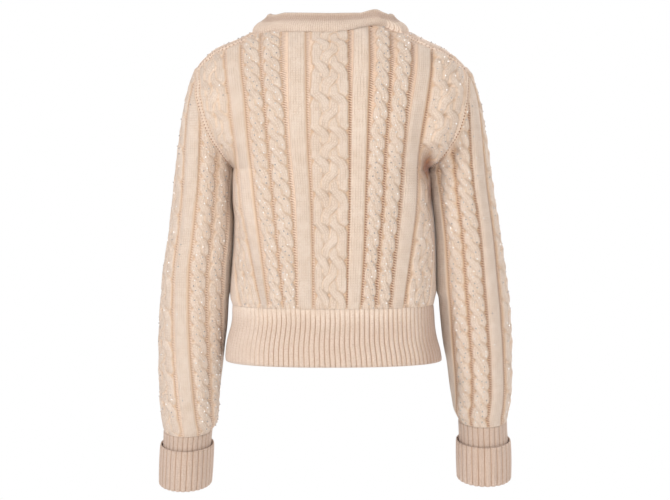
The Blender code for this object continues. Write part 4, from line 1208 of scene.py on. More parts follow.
def sleeve_columns(side):
    """Turns of the columns at one height, so that they follow the cables: a function of z."""
    marks = [0.0, SLEEVE_PLAN["plait"], SLEEVE_PLAN["band_in"], SLEEVE_PLAN["band_out"], SLEEVE_PLAN["rope_a_in"],
             SLEEVE_PLAN["rope_a_out"], SLEEVE_PLAN["rope_b_in"], SLEEVE_PLAN["rope_b_out"], SLEEVE_PLAN["plain"]]
    shift = smooth_table(SLEEVE_SHIFT[side], "arc")

    def at(z):
        """Signed lengths from the outer line, positive towards the back, and their turns."""
        t = np.linspace(0, 360, 1441)
        p = sleeve_ring(side, z, t)
        arc = np.concatenate([[0], np.cumsum(np.linalg.norm(np.diff(p, axis=0), axis=1))])
        total = arc[-1]
        half = total / 2
        fit = min(1.0, (half - 14.0) / 118.0)   # lower down, the plain part is used up first
        c = []
        for i, n in enumerate(SLEEVE_ZONES):
            a = marks[i] * fit
            b = marks[i + 1] * fit if i + 1 < len(marks) else half
            c += [a + (b - a) * k / n for k in range(n)]
        c = np.array(c)
        c = np.concatenate([c, [half], -c[:0:-1] + 0.0])  # round the back, the underarm, the front
        place = c + shift(z)
        return c / fit, np.interp(np.mod(place, total), arc, t) + 360.0 * np.floor(place / total), fit

    return at


def sleeve_relief(side, c, up):
    """Cables by the length from the plait's middle, positive to the back."""
    lateral = -c if side == "left" else c
    up = up + 0.0 * c
    r = Relief(c.shape)
    r.ground(c, up)
    size = np.abs(c)
    for a, b, height in ((SLEEVE_PLAN["band_in"], SLEEVE_PLAN["band_out"], 0.9), (SLEEVE_PLAN["plain"], 240.0, 0.35)):
        r.band(lateral, a, b, up, height)
        r.band(lateral, -b, -a, up, height)
    r.cable(lateral, -SLEEVE_PLAN["plait"], SLEEVE_PLAN["plait"], up + 9.0, "plait", 0.42 if side == "left" else 1.1)
    for way in (1, -1):
        for a, b, phase in ((SLEEVE_PLAN["rope_a_in"], SLEEVE_PLAN["rope_a_out"], 3.0),
                            (SLEEVE_PLAN["rope_b_in"], SLEEVE_PLAN["rope_b_out"], 12.0)):
            lo, hi = (a, b) if way > 0 else (-b, -a)
            r.cable(lateral, lo, hi, up + phase, "rope", 0.78 if side == "left" else 1.05)
    plan = SLEEVE_PLAN
    # the gutters' painted shade is light on the left sleeve and heavy on the right, away from the light
    for a, b in ((plan["plait"], plan["band_in"]), (plan["band_out"], plan["rope_a_in"]),
                 (plan["rope_a_out"], plan["rope_b_in"]), (plan["rope_b_out"], plan["plain"])):
        for way in (1, -1):
            here = Relief.__new__(Relief)
            here.__dict__.update({k: val for k, val in r.__dict__.items()})
            here.gutter(size, a, b, up, way * (-1 if side == "left" else 1), 0.42 if side == "left" else 1.2)
            pick = (c > 0) if way > 0 else (c <= 0)
            for key in ("u", "v", "hollow_shade", "hole_shade", "shade"):
                setattr(r, key, np.where(pick, getattr(here, key), getattr(r, key)))
    return r


def sleeve_piece(side):
    name = "sleeve_" + side
    sign = 1.0 if side == "left" else -1.0
    first_z, end_z = -255.0, CUFF[side]["seam_z"] + SEAM / 2
    at = sleeve_columns(side)
    c0, turn0, _ = at(first_z)
    cols = len(turn0)
    cap_rows = 104
    # the cap: each column runs from the armhole to the first ring
    p, n = armhole_point(side, turn0)
    along = unit(np.roll(p, -1, 0) - np.roll(p, 1, 0))
    onward = unit(np.cross(n, along))
    onward = np.where((onward[:, :1] * sign) < 0, -onward, onward)
    goal = sleeve_ring(side, first_z, turn0)
    down = unit(sleeve_ring(side, first_z - 3.0, turn0) - goal)
    reach = np.linalg.norm(goal - p, axis=1, keepdims=True)
    pit = np.clip(1 - (np.abs(np.mod(turn0, 360) - 180.0) - 20.0) / 20.0, 0, 1)[:, None]
    start = p + onward * SEAM * (1.2 + 1.8 * pit)
    t = ((np.arange(cap_rows + 1) / cap_rows) ** 1.08)[:, None, None]
    cap = (start * (2 * t ** 3 - 3 * t * t + 1) + onward * reach * 0.62 * (t ** 3 - 2 * t * t + t)
           + goal * (-2 * t ** 3 + 3 * t * t) + down * reach * 0.85 * (t ** 3 - t * t))
    # below it: rings
    n_low = int(math.ceil((first_z - end_z) / 1.6 / 4)) * 4
    zs = first_z + (end_z - first_z) * np.arange(1, n_low + 1) / n_low
    rings, cs = [], []
    for z in zs:
        c, turn, fit = at(z)
        rings.append(sleeve_ring(side, z, turn))
        cs.append(c)
    base = np.concatenate([cap, np.array(rings)])
    # lengths across in the cap: step from column to column at the same height
    c_cap = np.zeros((cap_rows + 1, cols))
    half = int(np.argmax(c0 < 0))  # columns before this go round by the back
    centre = 0
    order_back = list(range(0, half))
    order_front = [0] + list(range(cols - 1, half - 1, -1))
    for order, way in ((order_back, 1.0), (order_front, -1.0)):
        for a, b in zip(order[:-1], order[1:]):
            za = np.minimum.accumulate(cap[:, a, 2])[::-1]
            zb = cap[:, b, 2]
            pa = np.stack([np.interp(zb, za, cap[::-1, a, i]) for i in (0, 1)], -1)
            ca = np.interp(zb, za, c_cap[::-1, a])
            c_cap[:, b] = ca + way * np.linalg.norm(cap[:, b, :2] - pa, axis=-1)
        ring = c_cap[-1]
    # they match the ring's own lengths where the two meet
    mid = c0[0]
    scale = np.ones(cols)
    big = np.abs(c_cap[-1]) > 1.0
    scale[big] = (c0[big]) / c_cap[-1][big]
    blend = step(np.linspace(0, 1, cap_rows + 1))[:, None]
    shift = smooth_table(SLEEVE_SHIFT[side], "arc")
    c_cap = c_cap * (1 + (np.clip(scale, 0.6, 1.5) - 1)[None] * blend) * blend ** 0 
    c_all = np.concatenate([c_cap, np.array(cs)])
    # the way up the cloth, level all round
    line = base[:, 0]
    length = np.concatenate([[0], np.cumsum(np.linalg.norm(np.diff(line, axis=0), axis=1))])
    zline = np.minimum.accumulate(line[:, 2])
    up = np.interp(base[..., 2], zline[::-1], (length[-1] - length)[::-1])
    ring_up = np.interp(zs, zline[::-1], (length[-1] - length)[::-1])
    up[cap_rows + 1:] = ring_up[:, None]
    r = sleeve_relief(side, c_all, up)
    # normals of the plain form
    du = np.roll(base, -1, 1) - np.roll(base, 1, 1)
    dv = np.gradient(base, axis=0)
    normal = unit(np.cross(du, dv))
    mid_line = base.mean(1, keepdims=True)
    if ((base - mid_line) * normal).sum() < 0:
        normal = -normal
    k = 8
    mixn = np.linspace(1, 0, k)[:, None, None]
    normal[:k] = unit(n[None] * mixn + normal[:k] * (1 - mixn))
    line = cap[0]
    away, along_d = near_edge(base[:cap_rows], np.concatenate([line, line[:1]]))
    full_away = np.full(base.shape[:2], 99.0)
    full_along = np.zeros(base.shape[:2])
    full_away[:cap_rows], full_along[:cap_rows] = away, along_d
    seam_effects(r, full_away, full_along)
    # the underarm stays flat where the sleeve passes the body
    inner_side = np.clip((np.abs(c_all) - 112.0) / 10.0, 0, 1)
    r.h = r.h * (1 - 0.6 * inner_side)
    foot = (np.arange(len(base))[::-1][:, None]) * 1.6
    r.h = r.h * (0.1 + 0.35 * step((foot - 1.0) / 12.0) + 0.55 * step(foot / 60.0))
    r.pit(base)
    own = sink_at(base)
    r.h = np.where(own < 0, r.h * np.exp(own / 0.8), r.h)
    sink = np.minimum(own, 0.9) + np.maximum(own - 0.9, 0.0) * step(foot / 14.0)
    outer = base + normal * (r.h - sink)[..., None]
    inner = base - normal * INSIDE
    obj = shell(name + "_knit", outer, inner, r, ring=True, material=knit_wool, rims=("low", "high"))
    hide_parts(name)
    return obj, dict(outer=outer, normal=normal, relief=r, arc=c_all, up=up, z=base[..., 2])


for side in ("left", "right"):
    pieces["sleeve_" + side], grids["sleeve_" + side] = sleeve_piece(side)

# ---------------------------------------------------------------------------------------
# Ribs: hem, cuffs, front bands and neckband
# ---------------------------------------------------------------------------------------


def ribbed(across, pitch, depth, sharp=0.42):
    """A rib's height: broad and round with a narrow groove, 0 on top."""
    wave = np.abs(np.sin(math.pi * across / pitch))
    return depth * (wave ** sharp - 1.0)


def rib_relief(across, up, pitch, depth, wales=2.0, sharp=0.42):
    r = Relief(np.broadcast(across, up).shape)
    across, up = np.broadcast_arrays(across, up)
    r.h = ribbed(across, pitch, depth, sharp)
    groove = np.clip(-r.h / depth, 0, 1)
    r.u = across / pitch * wales
    r.v = up / COURSE
    r.kind = np.zeros(r.h.shape)
    # painted shade in the grooves, and an even painted shade over the whole rib
    r.hollow_shade = np.clip(1.9 * groove ** 1.6 - 0.05, 0, 1.2)
    r.shade = np.full(r.h.shape, 0.55)
    r.hole_shade = np.zeros(r.h.shape)
    return r


def hem_piece(name, side, front, over=False):
    gap = SEAM / 2
    rows = 20
    z = HEM_Z + (HEM_SEAM_Z - gap - HEM_Z) * np.linspace(0, 1, rows + 1)
    inset = math.degrees(gap / 150.0)
    if side == 0:
        lengths = [quarters[(s, False)].arc_at_angle(z, np.full(z.shape, 90.0 - inset)) for s in (-1, 1)]
        total = lengths[0] + lengths[1]
    else:
        q = quarters[(side, True)]
        start = q.arc_at_x(z, np.full(z.shape, BAND_HIGH + SEAM))
        total = q.arc_at_angle(z, np.full(z.shape, 90.0 - inset)) - start
    ribs = int(round(total.mean() / HEM_RIB))
    cols = ribs * 8
    share = np.linspace(0, 1, cols + 1)
    arc = total[:, None] * share[None]
    zz = np.repeat(z[:, None], cols + 1, 1)
    if side == 0:
        s = arc - lengths[0][:, None]
        angle = np.where(s < 0, quarters[(-1, False)].angle(zz, np.abs(s)), quarters[(1, False)].angle(zz, np.abs(s)))
    else:
        angle = q.angle(zz, arc + start[:, None])
    base, normal = skin(angle, zz), skin_normal(angle, zz)
    if front:
        base = base + normal * lap(base[..., 0], over)[..., None]
    r = rib_relief(share[None] * ribs * HEM_RIB, (zz - HEM_Z), HEM_RIB, 2.2, sharp=0.30)
    wander = 0.25 * np.sin(share * 37.0 + 1.3) + 0.2 * np.sin(share * 91.0)
    # the grooves deepen below the seam, unevenly, and are faint towards the wearer's left
    top = (HEM_SEAM_Z - zz) + 3.0 * uneven(23, base[..., 0] / 1.4)
    grow = 0.12 + 0.88 * step((top - 1.0) / 11.0)
    if not front:
        grow = 0.38 + 0.62 * grow
        grow = grow * (1 - 0.75 * step((base[..., 0] - 78.0) / 50.0))
    r.h = r.h * (1 + 0.25 * wander[None]) * grow
    # the painted shade in the grooves is heavier towards the wearer's right, away from the light
    clear = 1.0 + (0.7 * step((10.0 - base[..., 0]) / 90.0) if not front else 0.0)
    r.hollow_shade = np.clip(r.hollow_shade * grow ** 0.8 * clear, 0, 1.2)
    low = step((zz - HEM_Z) / 5.0)
    r.h = r.h * (0.5 + 0.5 * low) - 0.9 * (1 - low)
    r.h = r.h - 0.75 * (1 - step((HEM_SEAM_Z - gap - zz) / 7.0))
    # painted shade: little just below the seam with a thin band at it, full lower down
    r.shade = r.shade * (0.15 + 0.85 * step(top / 30.0)) + 0.30 * (1 - step((top + 4.0) / 12.0))
    if not front:  # the right end lies in shadow
        r.shade = np.maximum(r.shade, 1.12 * step((-base[..., 0] - 104.0) / 48.0))
    outer = base + normal * r.h[..., None]
    obj = shell(name + "_knit", outer, base - normal * WALL, r, material=rib_wool, rims=("high", "sides"))
    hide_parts(name)
    return obj


pieces["hem_rib_back"] = hem_piece("hem_rib_back", 0, False)
pieces["hem_rib_front_left"] = hem_piece("hem_rib_front_left", 1, True)
pieces["hem_rib_front_right"] = hem_piece("hem_rib_front_right", -1, True, over=True)


def band_piece(name, side, over):
    lo, hi = (BAND_LOW, BAND_HIGH) if not over else (-BAND_HIGH, -BAND_LOW)
    cols, rows = 56, 132
    x = np.linspace(lo, hi, cols + 1)[None].repeat(rows + 1, 0)
    z = np.linspace(HEM_Z, FRONT_NECK_Z - SEAM / 2, rows + 1)[:, None].repeat(cols + 1, 1)
    a = angle_at(np.where(np.abs(x) < 1e-6, 1e-6, x), z, True)
    base, normal = skin(a, z), skin_normal(a, z)
    if over:
        base = base + normal * LAP
    r = rib_relief(x - lo, z - HEM_Z, (hi - lo) / 7.0, 1.3)
    # the front bands get less of the rib's painted shade
    r.shade = r.shade * 0.3
    edge = np.minimum(x - lo, hi - x)
    r.h = r.h - 0.9 * (1 - step(edge / 2.0)) - 0.7 * (1 - step((z - HEM_Z) / 3.0))
    if over:  # the buttonholes pull the band a little
        for bz in BUTTON_Z:
            d = np.hypot(x / 13.0, (z - bz) / 9.0)
            r.h = r.h - 0.5 * np.exp(-d * d)
    outer = base + normal * r.h[..., None]
    inner = base - normal * (WALL if over is False else WALL)
    obj = shell(name + "_knit", outer, inner, r, material=rib_wool)
    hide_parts(name)
    return obj


pieces["button_band_left"] = band_piece("button_band_left", 1, False)
pieces["button_band_right"] = band_piece("button_band_right", -1, True)


def neckband_piece():
    # round the neck from the under end, by the wearer's left, the back and the right
    delta = 180.0 - float(np.abs(angle_at(-BAND_LOW, FRONT_NECK_Z, True)))
    sweep = np.concatenate([np.linspace(180.0 + delta, 180.0, 30)[:-1],
                            180.0 * np.cos(np.linspace(0, math.pi, 2400)),
                            np.linspace(-180.0, -180.0 - delta, 30)[1:]])
    wrapped = np.where(sweep > 180.0, sweep - 360.0, np.where(sweep < -180.0, sweep + 360.0, sweep))
    z = neckline_z(np.minimum(np.abs(sweep), 180.0))
    p = skin(wrapped, z)
    n = skin_normal(wrapped, z)
    over = sweep < 0
    lift = np.where(over & (np.abs(sweep) > 90.0), np.where(sweep < -180.0, LAP, lap(p[:, 0], True)), 0.0)
    p = p + n * lift[:, None] + np.array([0, 0, SEAM / 2])
    risen = skin(wrapped, z + np.where(np.abs(wrapped) < 90, 1.12 * neck_rise(p[:, 0]) + neck_lift(p[:, 0]), 0.0)) + n * lift[:, None]
    risen[:, 2] += SEAM / 2
    arc = np.concatenate([[0], np.cumsum(np.linalg.norm(np.diff(p, axis=0), axis=1))])
    ribs = int(round(arc[-1] / NECK_RIB))
    cols = ribs * 6
    cols -= cols % 4
    s = np.linspace(0, arc[-1], cols + 1)
    foot = np.stack([np.interp(s, arc, p[:, i]) for i in range(3)], -1)
    start = np.stack([np.interp(s, arc, risen[:, i]) for i in range(3)], -1)
    sw = np.interp(s, arc, sweep)
    around = np.abs(np.degrees(np.arctan2(foot[:, 0] / 112.0, foot[:, 1] / np.where(foot[:, 1] > 0, 60.0, 98.0))))
    around = np.where(np.abs(sw) > 172.0, 180.0, around)
    # soften the joins in the lean
    kernel = np.hanning(41); kernel /= kernel.sum()
    around = np.convolve(np.pad(around, 20, mode="edge"), kernel, "valid")
    radial = unit(foot * np.array([1, 1, 0.0]))
    top = foot - radial * neckband["inward"](around)[:, None] + np.array([0, 0, 1.0]) * neckband["upward"](around)[:, None]
    top[:, 2] += np.where(foot[:, 1] > 0, 0.9 * neck_lift(foot[:, 0] * 1.12), 0.0)
    rise = top - start
    tangent = np.stack([-radial[:, 1], radial[:, 0], 0 * radial[:, 0]], -1)
    out = unit(np.cross(tangent, rise))
    out = np.where(((out * radial).sum(-1) < 0)[:, None], -out, out)
    rows = 24
    t = np.linspace(-0.1, 1, rows + 1)[:, None, None]
    # it rolls over the body's edge, is hollow above the middle, and has a soft rim
    bulge = np.interp(t, [-0.1, -0.04, 0.05, 0.18, 0.34, 0.5, 0.66, 0.82, 0.93, 1.0],
                      [-0.4, 1.0, 2.3, 3.2, 3.0, 1.6, 0.2, 0.1, 0.9, 0.6])
    flat_inner = start[None] + rise[None] * np.maximum(t, 0.004) + out[None] * (2.2 * 4 * np.clip(t, 0, 1) * np.clip(1 - t, 0, 1))
    wave = 1.0 * np.interp(foot[:, 0], [-200, -104, -95, -84, -72, -56, 200], [0, 0, 3.0, 5.5, 4.0, 0, 0])
    wave = (wave * (foot[:, 1] > 0))[None, :, None] * step(np.clip(t, 0, 1)) ** 2 * np.array([0, 0, 1.0])
    flat_inner = flat_inner + wave - (1 - step(t / 0.12)) * (foot[:, 1] > 0)[None, :, None] * np.array([0, 0, 0.9])
    # its lower rim is pressed to the back beside the shoulders
    press = 0.9 * step((np.abs(foot[:, 0]) - 60.0) / 20.0) * (foot[:, 1] > 0)
    bulge = bulge - press[None, :, None] * (1 - step((t + 0.1) / 0.12))
    base = start[None] + rise[None] * t + out[None] * bulge + wave
    du = np.gradient(base, axis=1)
    dv = np.gradient(base, axis=0)
    normal = unit(np.cross(du, dv))
    flip = (normal * radial[None]).sum(-1) < 0
    normal = np.where(flip[..., None], -normal, normal)
    up = t[..., 0] * 30.0 + 0 * s[None]
    r = rib_relief(s[None] + 0 * up, up, NECK_RIB, 0.9, wales=1.0, sharp=0.55)
    r.h = r.h - 0.7 * (1 - step((1 - t[..., 0]) / 0.10))
    # a faint line half way up, and painted shade: some over the band, heavy on the upper half, which leans away from
    # the light, less at the rim
    r.h = r.h - 0.4 * np.exp(-((t[..., 0] - 0.5) / 0.05) ** 2)
    r.shade = 0.28 + 0.72 * step((t[..., 0] - 0.42) / 0.2) * (1 - 0.75 * step((t[..., 0] - 0.80) / 0.12)) + 0 * up
    r.hollow_shade = np.clip(r.hollow_shade * 0.6, 0, 1)
    ends = np.minimum(s, s[-1] - s)[None] + 0 * up
    r.h = r.h - 0.8 * (1 - step(ends / 2.0))
    outer = base + normal * r.h[..., None]
    obj = shell("neckband_knit", outer, flat_inner - normal * WALL, r, material=rib_wool, rims=("low",))
    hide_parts("neckband")
    return obj


pieces["neckband"] = neckband_piece()


def cuff_piece(side):
    c = CUFF[side]
    seam_z, fold_z, turn_z = c["seam_z"] - SEAM / 2, c["fold_z"], c["turn_z"]
    out = CUFF["gap"] + WALL
    radius = out / 2
    perimeter = np.linalg.norm(np.diff(sleeve_ring(side, (turn_z + fold_z) / 2, np.linspace(0, 360, 400)), axis=0), axis=1).sum()
    pitch = CUFF_RIB[side]
    ribs = int(round(perimeter / pitch))
    cols = ribs * 8
    t = np.linspace(0, 360, 1441)

    def turns_at(z):
        p = sleeve_ring(side, z, t)
        arc = np.concatenate([[0], np.cumsum(np.linalg.norm(np.diff(p, axis=0), axis=1))])
        return np.interp(np.linspace(0, arc[-1], cols + 1)[:-1], arc, t)

    # the middle line of the J: down inside, round the fold, up outside
    inside = [(z, 0.0) for z in np.linspace(seam_z, fold_z + radius, 26)]
    foot = [(fold_z + radius - radius * math.sin(a), radius - radius * math.cos(a))
            for a in np.radians(np.linspace(0, 180, 9)[1:-1])]
    outside = [(z, out + 0.6 * math.sin(math.pi * i / 18)) for i, z in enumerate(np.linspace(fold_z + radius, turn_z, 19))]
    line = np.array(inside + foot + outside)
    d = np.gradient(line, axis=0)
    d /= np.linalg.norm(d, axis=1, keepdims=True)
    # the normal on the side that faces out on the inner layer faces in on the turned one
    nz, nd = -d[:, 1], d[:, 0]
    half = WALL / 2
    share = np.linspace(0, 1, len(line))
    first = np.stack([line[:, 0] + nz * half, line[:, 1] - half + nd * half], 1)
    second = np.stack([line[:, 0] - nz * half, line[:, 1] - half - nd * half], 1)
    length = np.concatenate([[0], np.cumsum(np.linalg.norm(np.diff(line, axis=0), axis=1))])
    phase = np.arange(cols) / 8.0

    def face(section, normals, faces_out):
        rows_p, rows_n = [], []
        for (z, dd), (mz, md) in zip(section, normals):
            turn = turns_at(z)
            p = sleeve_ring(side, np.full(cols, z), turn)
            n = ring_normal(side, np.full(cols, z), turn)
            rows_p.append(p + n * dd)
            rows_n.append(unit(n * md + np.array([0, 0, 1.0]) * mz))
        return np.array(rows_p), np.array(rows_n)

    # one closed outline: the second face (out on the turned layer) then the first back again
    pa, na = face(first, np.stack([nz, nd], 1), True)
    pb, nb = face(second, np.stack([-nz, -nd], 1), True)
    r = {}
    sides = {}
    for key, p, n in (("a", pa, na), ("b", pb, nb)):
        rel = rib_relief(phase[None] * pitch, (length[:, None] + 0 * phase[None]), pitch, 2.0, sharp=0.34)
        # painted shade over the cuffs, a little more on the right
        rel.shade = rel.shade + (0.40 if side == "right" else 0.34)
        ends = np.minimum(length, length[-1] - length)[:, None]
        rel.h = rel.h * (0.45 + 0.55 * step(ends / 4.0)) - 0.5 * (1 - step(ends / 2.0))
        sides[key] = (p + n * np.maximum(rel.h, -1.15)[..., None], rel)
    points = np.concatenate([sides["b"][0], sides["a"][0][::-1]])
    rows = len(points)
    idx = np.arange(rows * cols).reshape(rows, cols)
    nxt = np.roll(idx, -1, 1)
    down = np.roll(idx, -1, 0)
    faces = np.stack([idx, nxt, np.roll(down, -1, 1), down], -1).reshape(-1, 4)

    def both(key):
        return np.concatenate([getattr(sides["b"][1], key), getattr(sides["a"][1], key)[::-1]]).ravel()

    # stitches on the last column of a ring would run back to the first, so their texture is calmed on the first and
    # last columns
    stitch = np.stack([both("u"), both("v"), both("kind")], 1)
    painted_shading = np.stack([both("hollow_shade"), both("hole_shade"), both("shade")], 1)
    name = "cuff_" + side
    calm = np.ones((rows, cols))
    calm[:, [0, -1]] = 0.0
    obj = build(name + "_knit", points.reshape(-1, 3), faces, stitch, painted_shading, rib_wool, calm=calm.ravel())
    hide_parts(name)
    return obj


for side in ("left", "right"):
    pieces["cuff_" + side] = cuff_piece(side)

# ---------------------------------------------------------------------------------------
# Buttons
# ---------------------------------------------------------------------------------------
def button_piece(name, z):
    a = angle_at(1e-6, z, True)
    n = skin_normal(a, z)
    place = skin(a, z) + n * (LAP + SEAM + 0.5)
    up = unit(np.array([0, 0, 1.0]) - n * n[2])
    left = np.cross(n, up)
    count = 56
    profile = ((0.0, 0.62), (0.12, 0.62), (0.2, 0.62), (0.28, 0.62), (0.36, 0.62), (0.44, 0.63), (0.52, 0.66),
               (0.60, 0.74), (0.66, 0.86), (0.72, 0.95), (0.79, 1.0), (0.86, 0.98), (0.93, 0.86), (0.98, 0.66),
               (1.0, 0.45), (0.99, 0.22), (0.95, 0.06), (0.90, 0.0), (0.45, 0.0), (0.0, 0.0))
    ang = 2 * math.pi * np.arange(count) / count
    pts, hole_shade = [], []
    for i, (rr, hh) in enumerate(profile):
        x, y = BUTTON_R * rr * np.cos(ang), BUTTON_R * rr * np.sin(ang)
        h = BUTTON_T * hh + 0 * ang
        dent = np.zeros(count)
        if i < 9:
            for hx, hy in ((1.9, 1.9), (-1.9, 1.9), (-1.9, -1.9), (1.9, -1.9)):
                dent = np.maximum(dent, step((1.35 - np.hypot(x - hx, y - hy)) / 0.7))
        pts.append(place + x[:, None] * left + y[:, None] * up + (h - 1.2 * dent)[:, None] * n)
        hole_shade.append(dent)
    pts, hole_shade = np.array(pts), np.array(hole_shade)
    rows = len(pts)
    idx = np.arange(rows * count).reshape(rows, count)
    nxt = np.roll(idx, -1, 1)
    faces = np.stack([idx[:-1], nxt[:-1], nxt[1:], idx[1:]], -1).reshape(-1, 4)
    painted_shading = np.stack([0 * hole_shade.ravel(), hole_shade.ravel(), 0 * hole_shade.ravel()], 1)
    obj = build(name + "_face", pts.reshape(-1, 3), faces, None, painted_shading, button_material)
    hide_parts(name)
    return obj


for number, height in enumerate(BUTTON_Z):
    button_piece(f"button_{number + 2}", height)

# ---------------------------------------------------------------------------------------
# Camera, light, floor
# ---------------------------------------------------------------------------------------
scene = bpy.context.scene
camera = bpy.data.objects.new("camera", bpy.data.cameras.new("camera"))
scene.collection.objects.link(camera)
camera.data.lens, camera.data.sensor_width = 78.95, 36.0
camera.location = (-0.008, 2.200, -0.200)
camera.rotation_euler = (Vector((-0.008, 0, -0.328)) - camera.location).to_track_quat("-Z", "Y").to_euler()
scene.camera = camera


def lamp(name, at, target, size, power_w, colour=(1, 1, 1)):
    data = bpy.data.lights.new(name, "AREA")
    data.shape, data.size, data.energy, data.color = "DISK", size, power_w, colour
    obj = bpy.data.objects.new(name, data)
    scene.collection.objects.link(obj)
    obj.location = at
    obj.rotation_euler = (Vector(target) - Vector(at)).to_track_quat("-Z", "Y").to_euler()
    return obj


lamp("key", (2.1, 1.7, 1.1), (0, 0, -0.35), 1.1, 47.0, (1.0, 0.985, 0.975))
lamp("fill", (-1.9, 2.2, 0.2), (0, 0, -0.4), 1.8, 21.0, (1.0, 0.985, 0.98))
lamp("soft", (0.15, 3.1, -0.1), (0, 0, -0.35), 1.2, 32.0, (1.0, 0.975, 0.95))
lamp("front_key", (-1.7, -1.9, 1.2), (0, 0, -0.35), 1.3, 58.0, (1.0, 0.985, 0.96))

world = bpy.data.worlds.new("studio")
scene.world = world
world.use_nodes = True
tree = world.node_tree
background = tree.nodes["Background"]
background.inputs["Color"].default_value = (1.0, 1.0, 1.0, 1)
background.inputs["Strength"].default_value = 0.65
seen = tree.nodes.new("ShaderNodeBackground")
seen.inputs["Color"].default_value = (1.0, 1.0, 1.0, 1)
seen.inputs["Strength"].default_value = 1.0
ray = tree.nodes.new("ShaderNodeLightPath")
choose = tree.nodes.new("ShaderNodeMixShader")
tree.links.new(ray.outputs["Is Camera Ray"], choose.inputs[0])
tree.links.new(background.outputs[0], choose.inputs[1])
tree.links.new(seen.outputs[0], choose.inputs[2])
tree.links.new(choose.outputs[0], tree.nodes["World Output"].inputs["Surface"])

floor_mesh = bpy.data.meshes.new("floor")
floor_mesh.from_pydata([(-2.4, -2.2, -1.42), (2.4, -2.2, -1.42), (2.4, 2.4, -1.42), (-2.4, 2.4, -1.42)], [], [(0, 1, 2, 3)])
floor = bpy.data.objects.new("floor", floor_mesh)
scene.collection.objects.link(floor)
pale = Nodes("pale_floor")
pale.link(pale.mix(pale.noise(3.0), (0.90, 0.90, 0.90), (0.88, 0.88, 0.88)), pale.shader.inputs["Base Color"])
pale.shader.inputs["Roughness"].default_value = 0.8
floor_mesh.materials.append(pale.material)
scene.view_settings.view_transform = "Standard"
scene.view_settings.look = "None"

# ---------------------------------------------------------------------------------------
# Beads: sewn along the strands of the cables
# ---------------------------------------------------------------------------------------
def ball():
    """A small round solid of 80 faces."""
    f = (1 + math.sqrt(5)) / 2
    p = [(-1, f, 0), (1, f, 0), (-1, -f, 0), (1, -f, 0), (0, -1, f), (0, 1, f),
         (0, -1, -f), (0, 1, -f), (f, 0, -1), (f, 0, 1), (-f, 0, -1), (-f, 0, 1)]
    faces = [(0, 11, 5), (0, 5, 1), (0, 1, 7), (0, 7, 10), (0, 10, 11), (1, 5, 9), (5, 11, 4),
             (11, 10, 2), (10, 7, 6), (7, 1, 8), (3, 9, 4), (3, 4, 2), (3, 2, 6), (3, 6, 8),
             (3, 8, 9), (4, 9, 5), (2, 4, 11), (6, 2, 10), (8, 6, 7), (9, 8, 1)]
    p = [np.array(v, float) / np.linalg.norm(v) for v in p]
    split, middle = [], {}

    def mid(a, b):
        key = (min(a, b), max(a, b))
        if key not in middle:
            v = p[a] + p[b]
            p.append(v / np.linalg.norm(v))
            middle[key] = len(p) - 1
        return middle[key]

    for a, b, c in faces:
        ab, bc, ca = mid(a, b), mid(b, c), mid(c, a)
        split += [(a, ab, ca), (b, bc, ab), (c, ca, bc), (ab, bc, ca)]
    return np.array(p), np.array(split)


BALL = ball()
BEAD_R = 1.1


def scatter(grid, wanted, spacing, seed):
    """Places on a grid's strands, no two nearer than the spacing. wanted is each vertex's
    chance of holding one, and is taken along the middle and the edges of each strand."""
    r = grid["relief"]
    local = np.random.default_rng(seed)
    row, col = np.nonzero(wanted > 0)
    pick = local.permutation(len(row))
    row, col = row[pick], col[pick]
    points = grid["outer"][row, col]
    keep_chance = local.random(len(row)) < wanted[row, col]
    cells, chosen = {}, []
    for k in np.flatnonzero(keep_chance):
        q = points[k]
        key = (int(q[0] // spacing), int(q[1] // spacing), int(q[2] // spacing))
        near = False
        for dx in (-1, 0, 1):
            for dy in (-1, 0, 1):
                for dz in (-1, 0, 1):
                    for other in cells.get((key[0] + dx, key[1] + dy, key[2] + dz), ()):
                        if (other[0] - q[0]) ** 2 + (other[1] - q[1]) ** 2 + (other[2] - q[2]) ** 2 < spacing * spacing:
                            near = True
                            break
        if not near:
            cells.setdefault(key, []).append(tuple(q))
            chosen.append(k)
    return row[chosen], col[chosen]


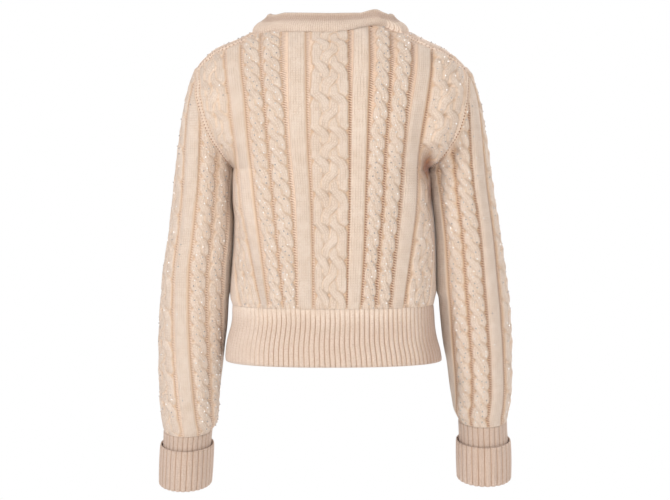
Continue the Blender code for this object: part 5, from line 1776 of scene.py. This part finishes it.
def bead_piece(name, grid, wanted, spacing, seed):
    row, col = scatter(grid, wanted, spacing, seed)
    local = np.random.default_rng(seed + 1)
    points, normals = grid["outer"][row, col], grid["normal"][row, col]
    radius = BEAD_R * local.uniform(0.88, 1.12, len(row))
    centres = points + normals * (radius * 0.45)[:, None]
    shape, faces = BALL
    count = len(shape)
    p = (centres[:, None] + shape[None] * radius[:, None, None]).reshape(-1, 3)
    f = (faces[None] + count * np.arange(len(row))[:, None, None]).reshape(-1, 3)
    f = np.concatenate([f, f[:, 2:]], 1)
    print(name, len(row), "beads")
    return build(name, p, f, None, None, bead_material)


def on_strands(grid, height, chance):
    """The chance of a bead at each vertex: on the tops of the cables only."""
    r = grid["relief"]
    lane = np.abs(r.u - 40.0)
    on = (r.kind < 0.5) & (lane < 1.0) & (r.hollow_shade < 0.2) & (r.h > height)
    return np.where(on & (np.abs(lane - 0.72) < 0.22), chance, np.where(on & (lane < 0.2), chance * 0.8, 0.0))


g = grids["back"]
x, z = g["outer"][..., 0], g["outer"][..., 2]
m = {s: [np.interp(z, HEIGHTS, row) for row in g["marks"][s]] for s in (-1, 1)}
across = g["arc"]
wanted = np.zeros(z.shape)
for s in (-1, 1):
    for a, b, share in ((4, 5, 1.0), (6, 7, 1.0), (10, 11, 0.12 if s > 0 else 0.45)):
        zone = (g["side"] == s) & (across > m[s][a]) & (across < m[s][b])
        wanted = np.where(zone, share, wanted)
wanted = wanted * on_strands(g, 0.4, 0.14) + 0.12 * g["rolled"]
bead_piece("beads_back", g, wanted, 6.6, 31)
for which, seed in (("front_left", 41), ("front_right", 43)):
    bead_piece("beads_" + which, grids[which], on_strands(grids[which], 0.4, 0.10), 7.5, seed)
for which, seed in (("sleeve_left", 51), ("sleeve_right", 53)):
    g = grids[which]
    size = np.abs(g["arc"])
    on_a = (size > SLEEVE_PLAN["rope_a_in"]) & (size < SLEEVE_PLAN["rope_a_out"])
    on_b = (size > SLEEVE_PLAN["rope_b_in"]) & (size < SLEEVE_PLAN["rope_b_out"])
    share = np.where(on_a | on_b, 1.0, 0.15)
    bead_piece("beads_" + which, g, share * on_strands(g, 0.4, 0.15), 6.6, seed)
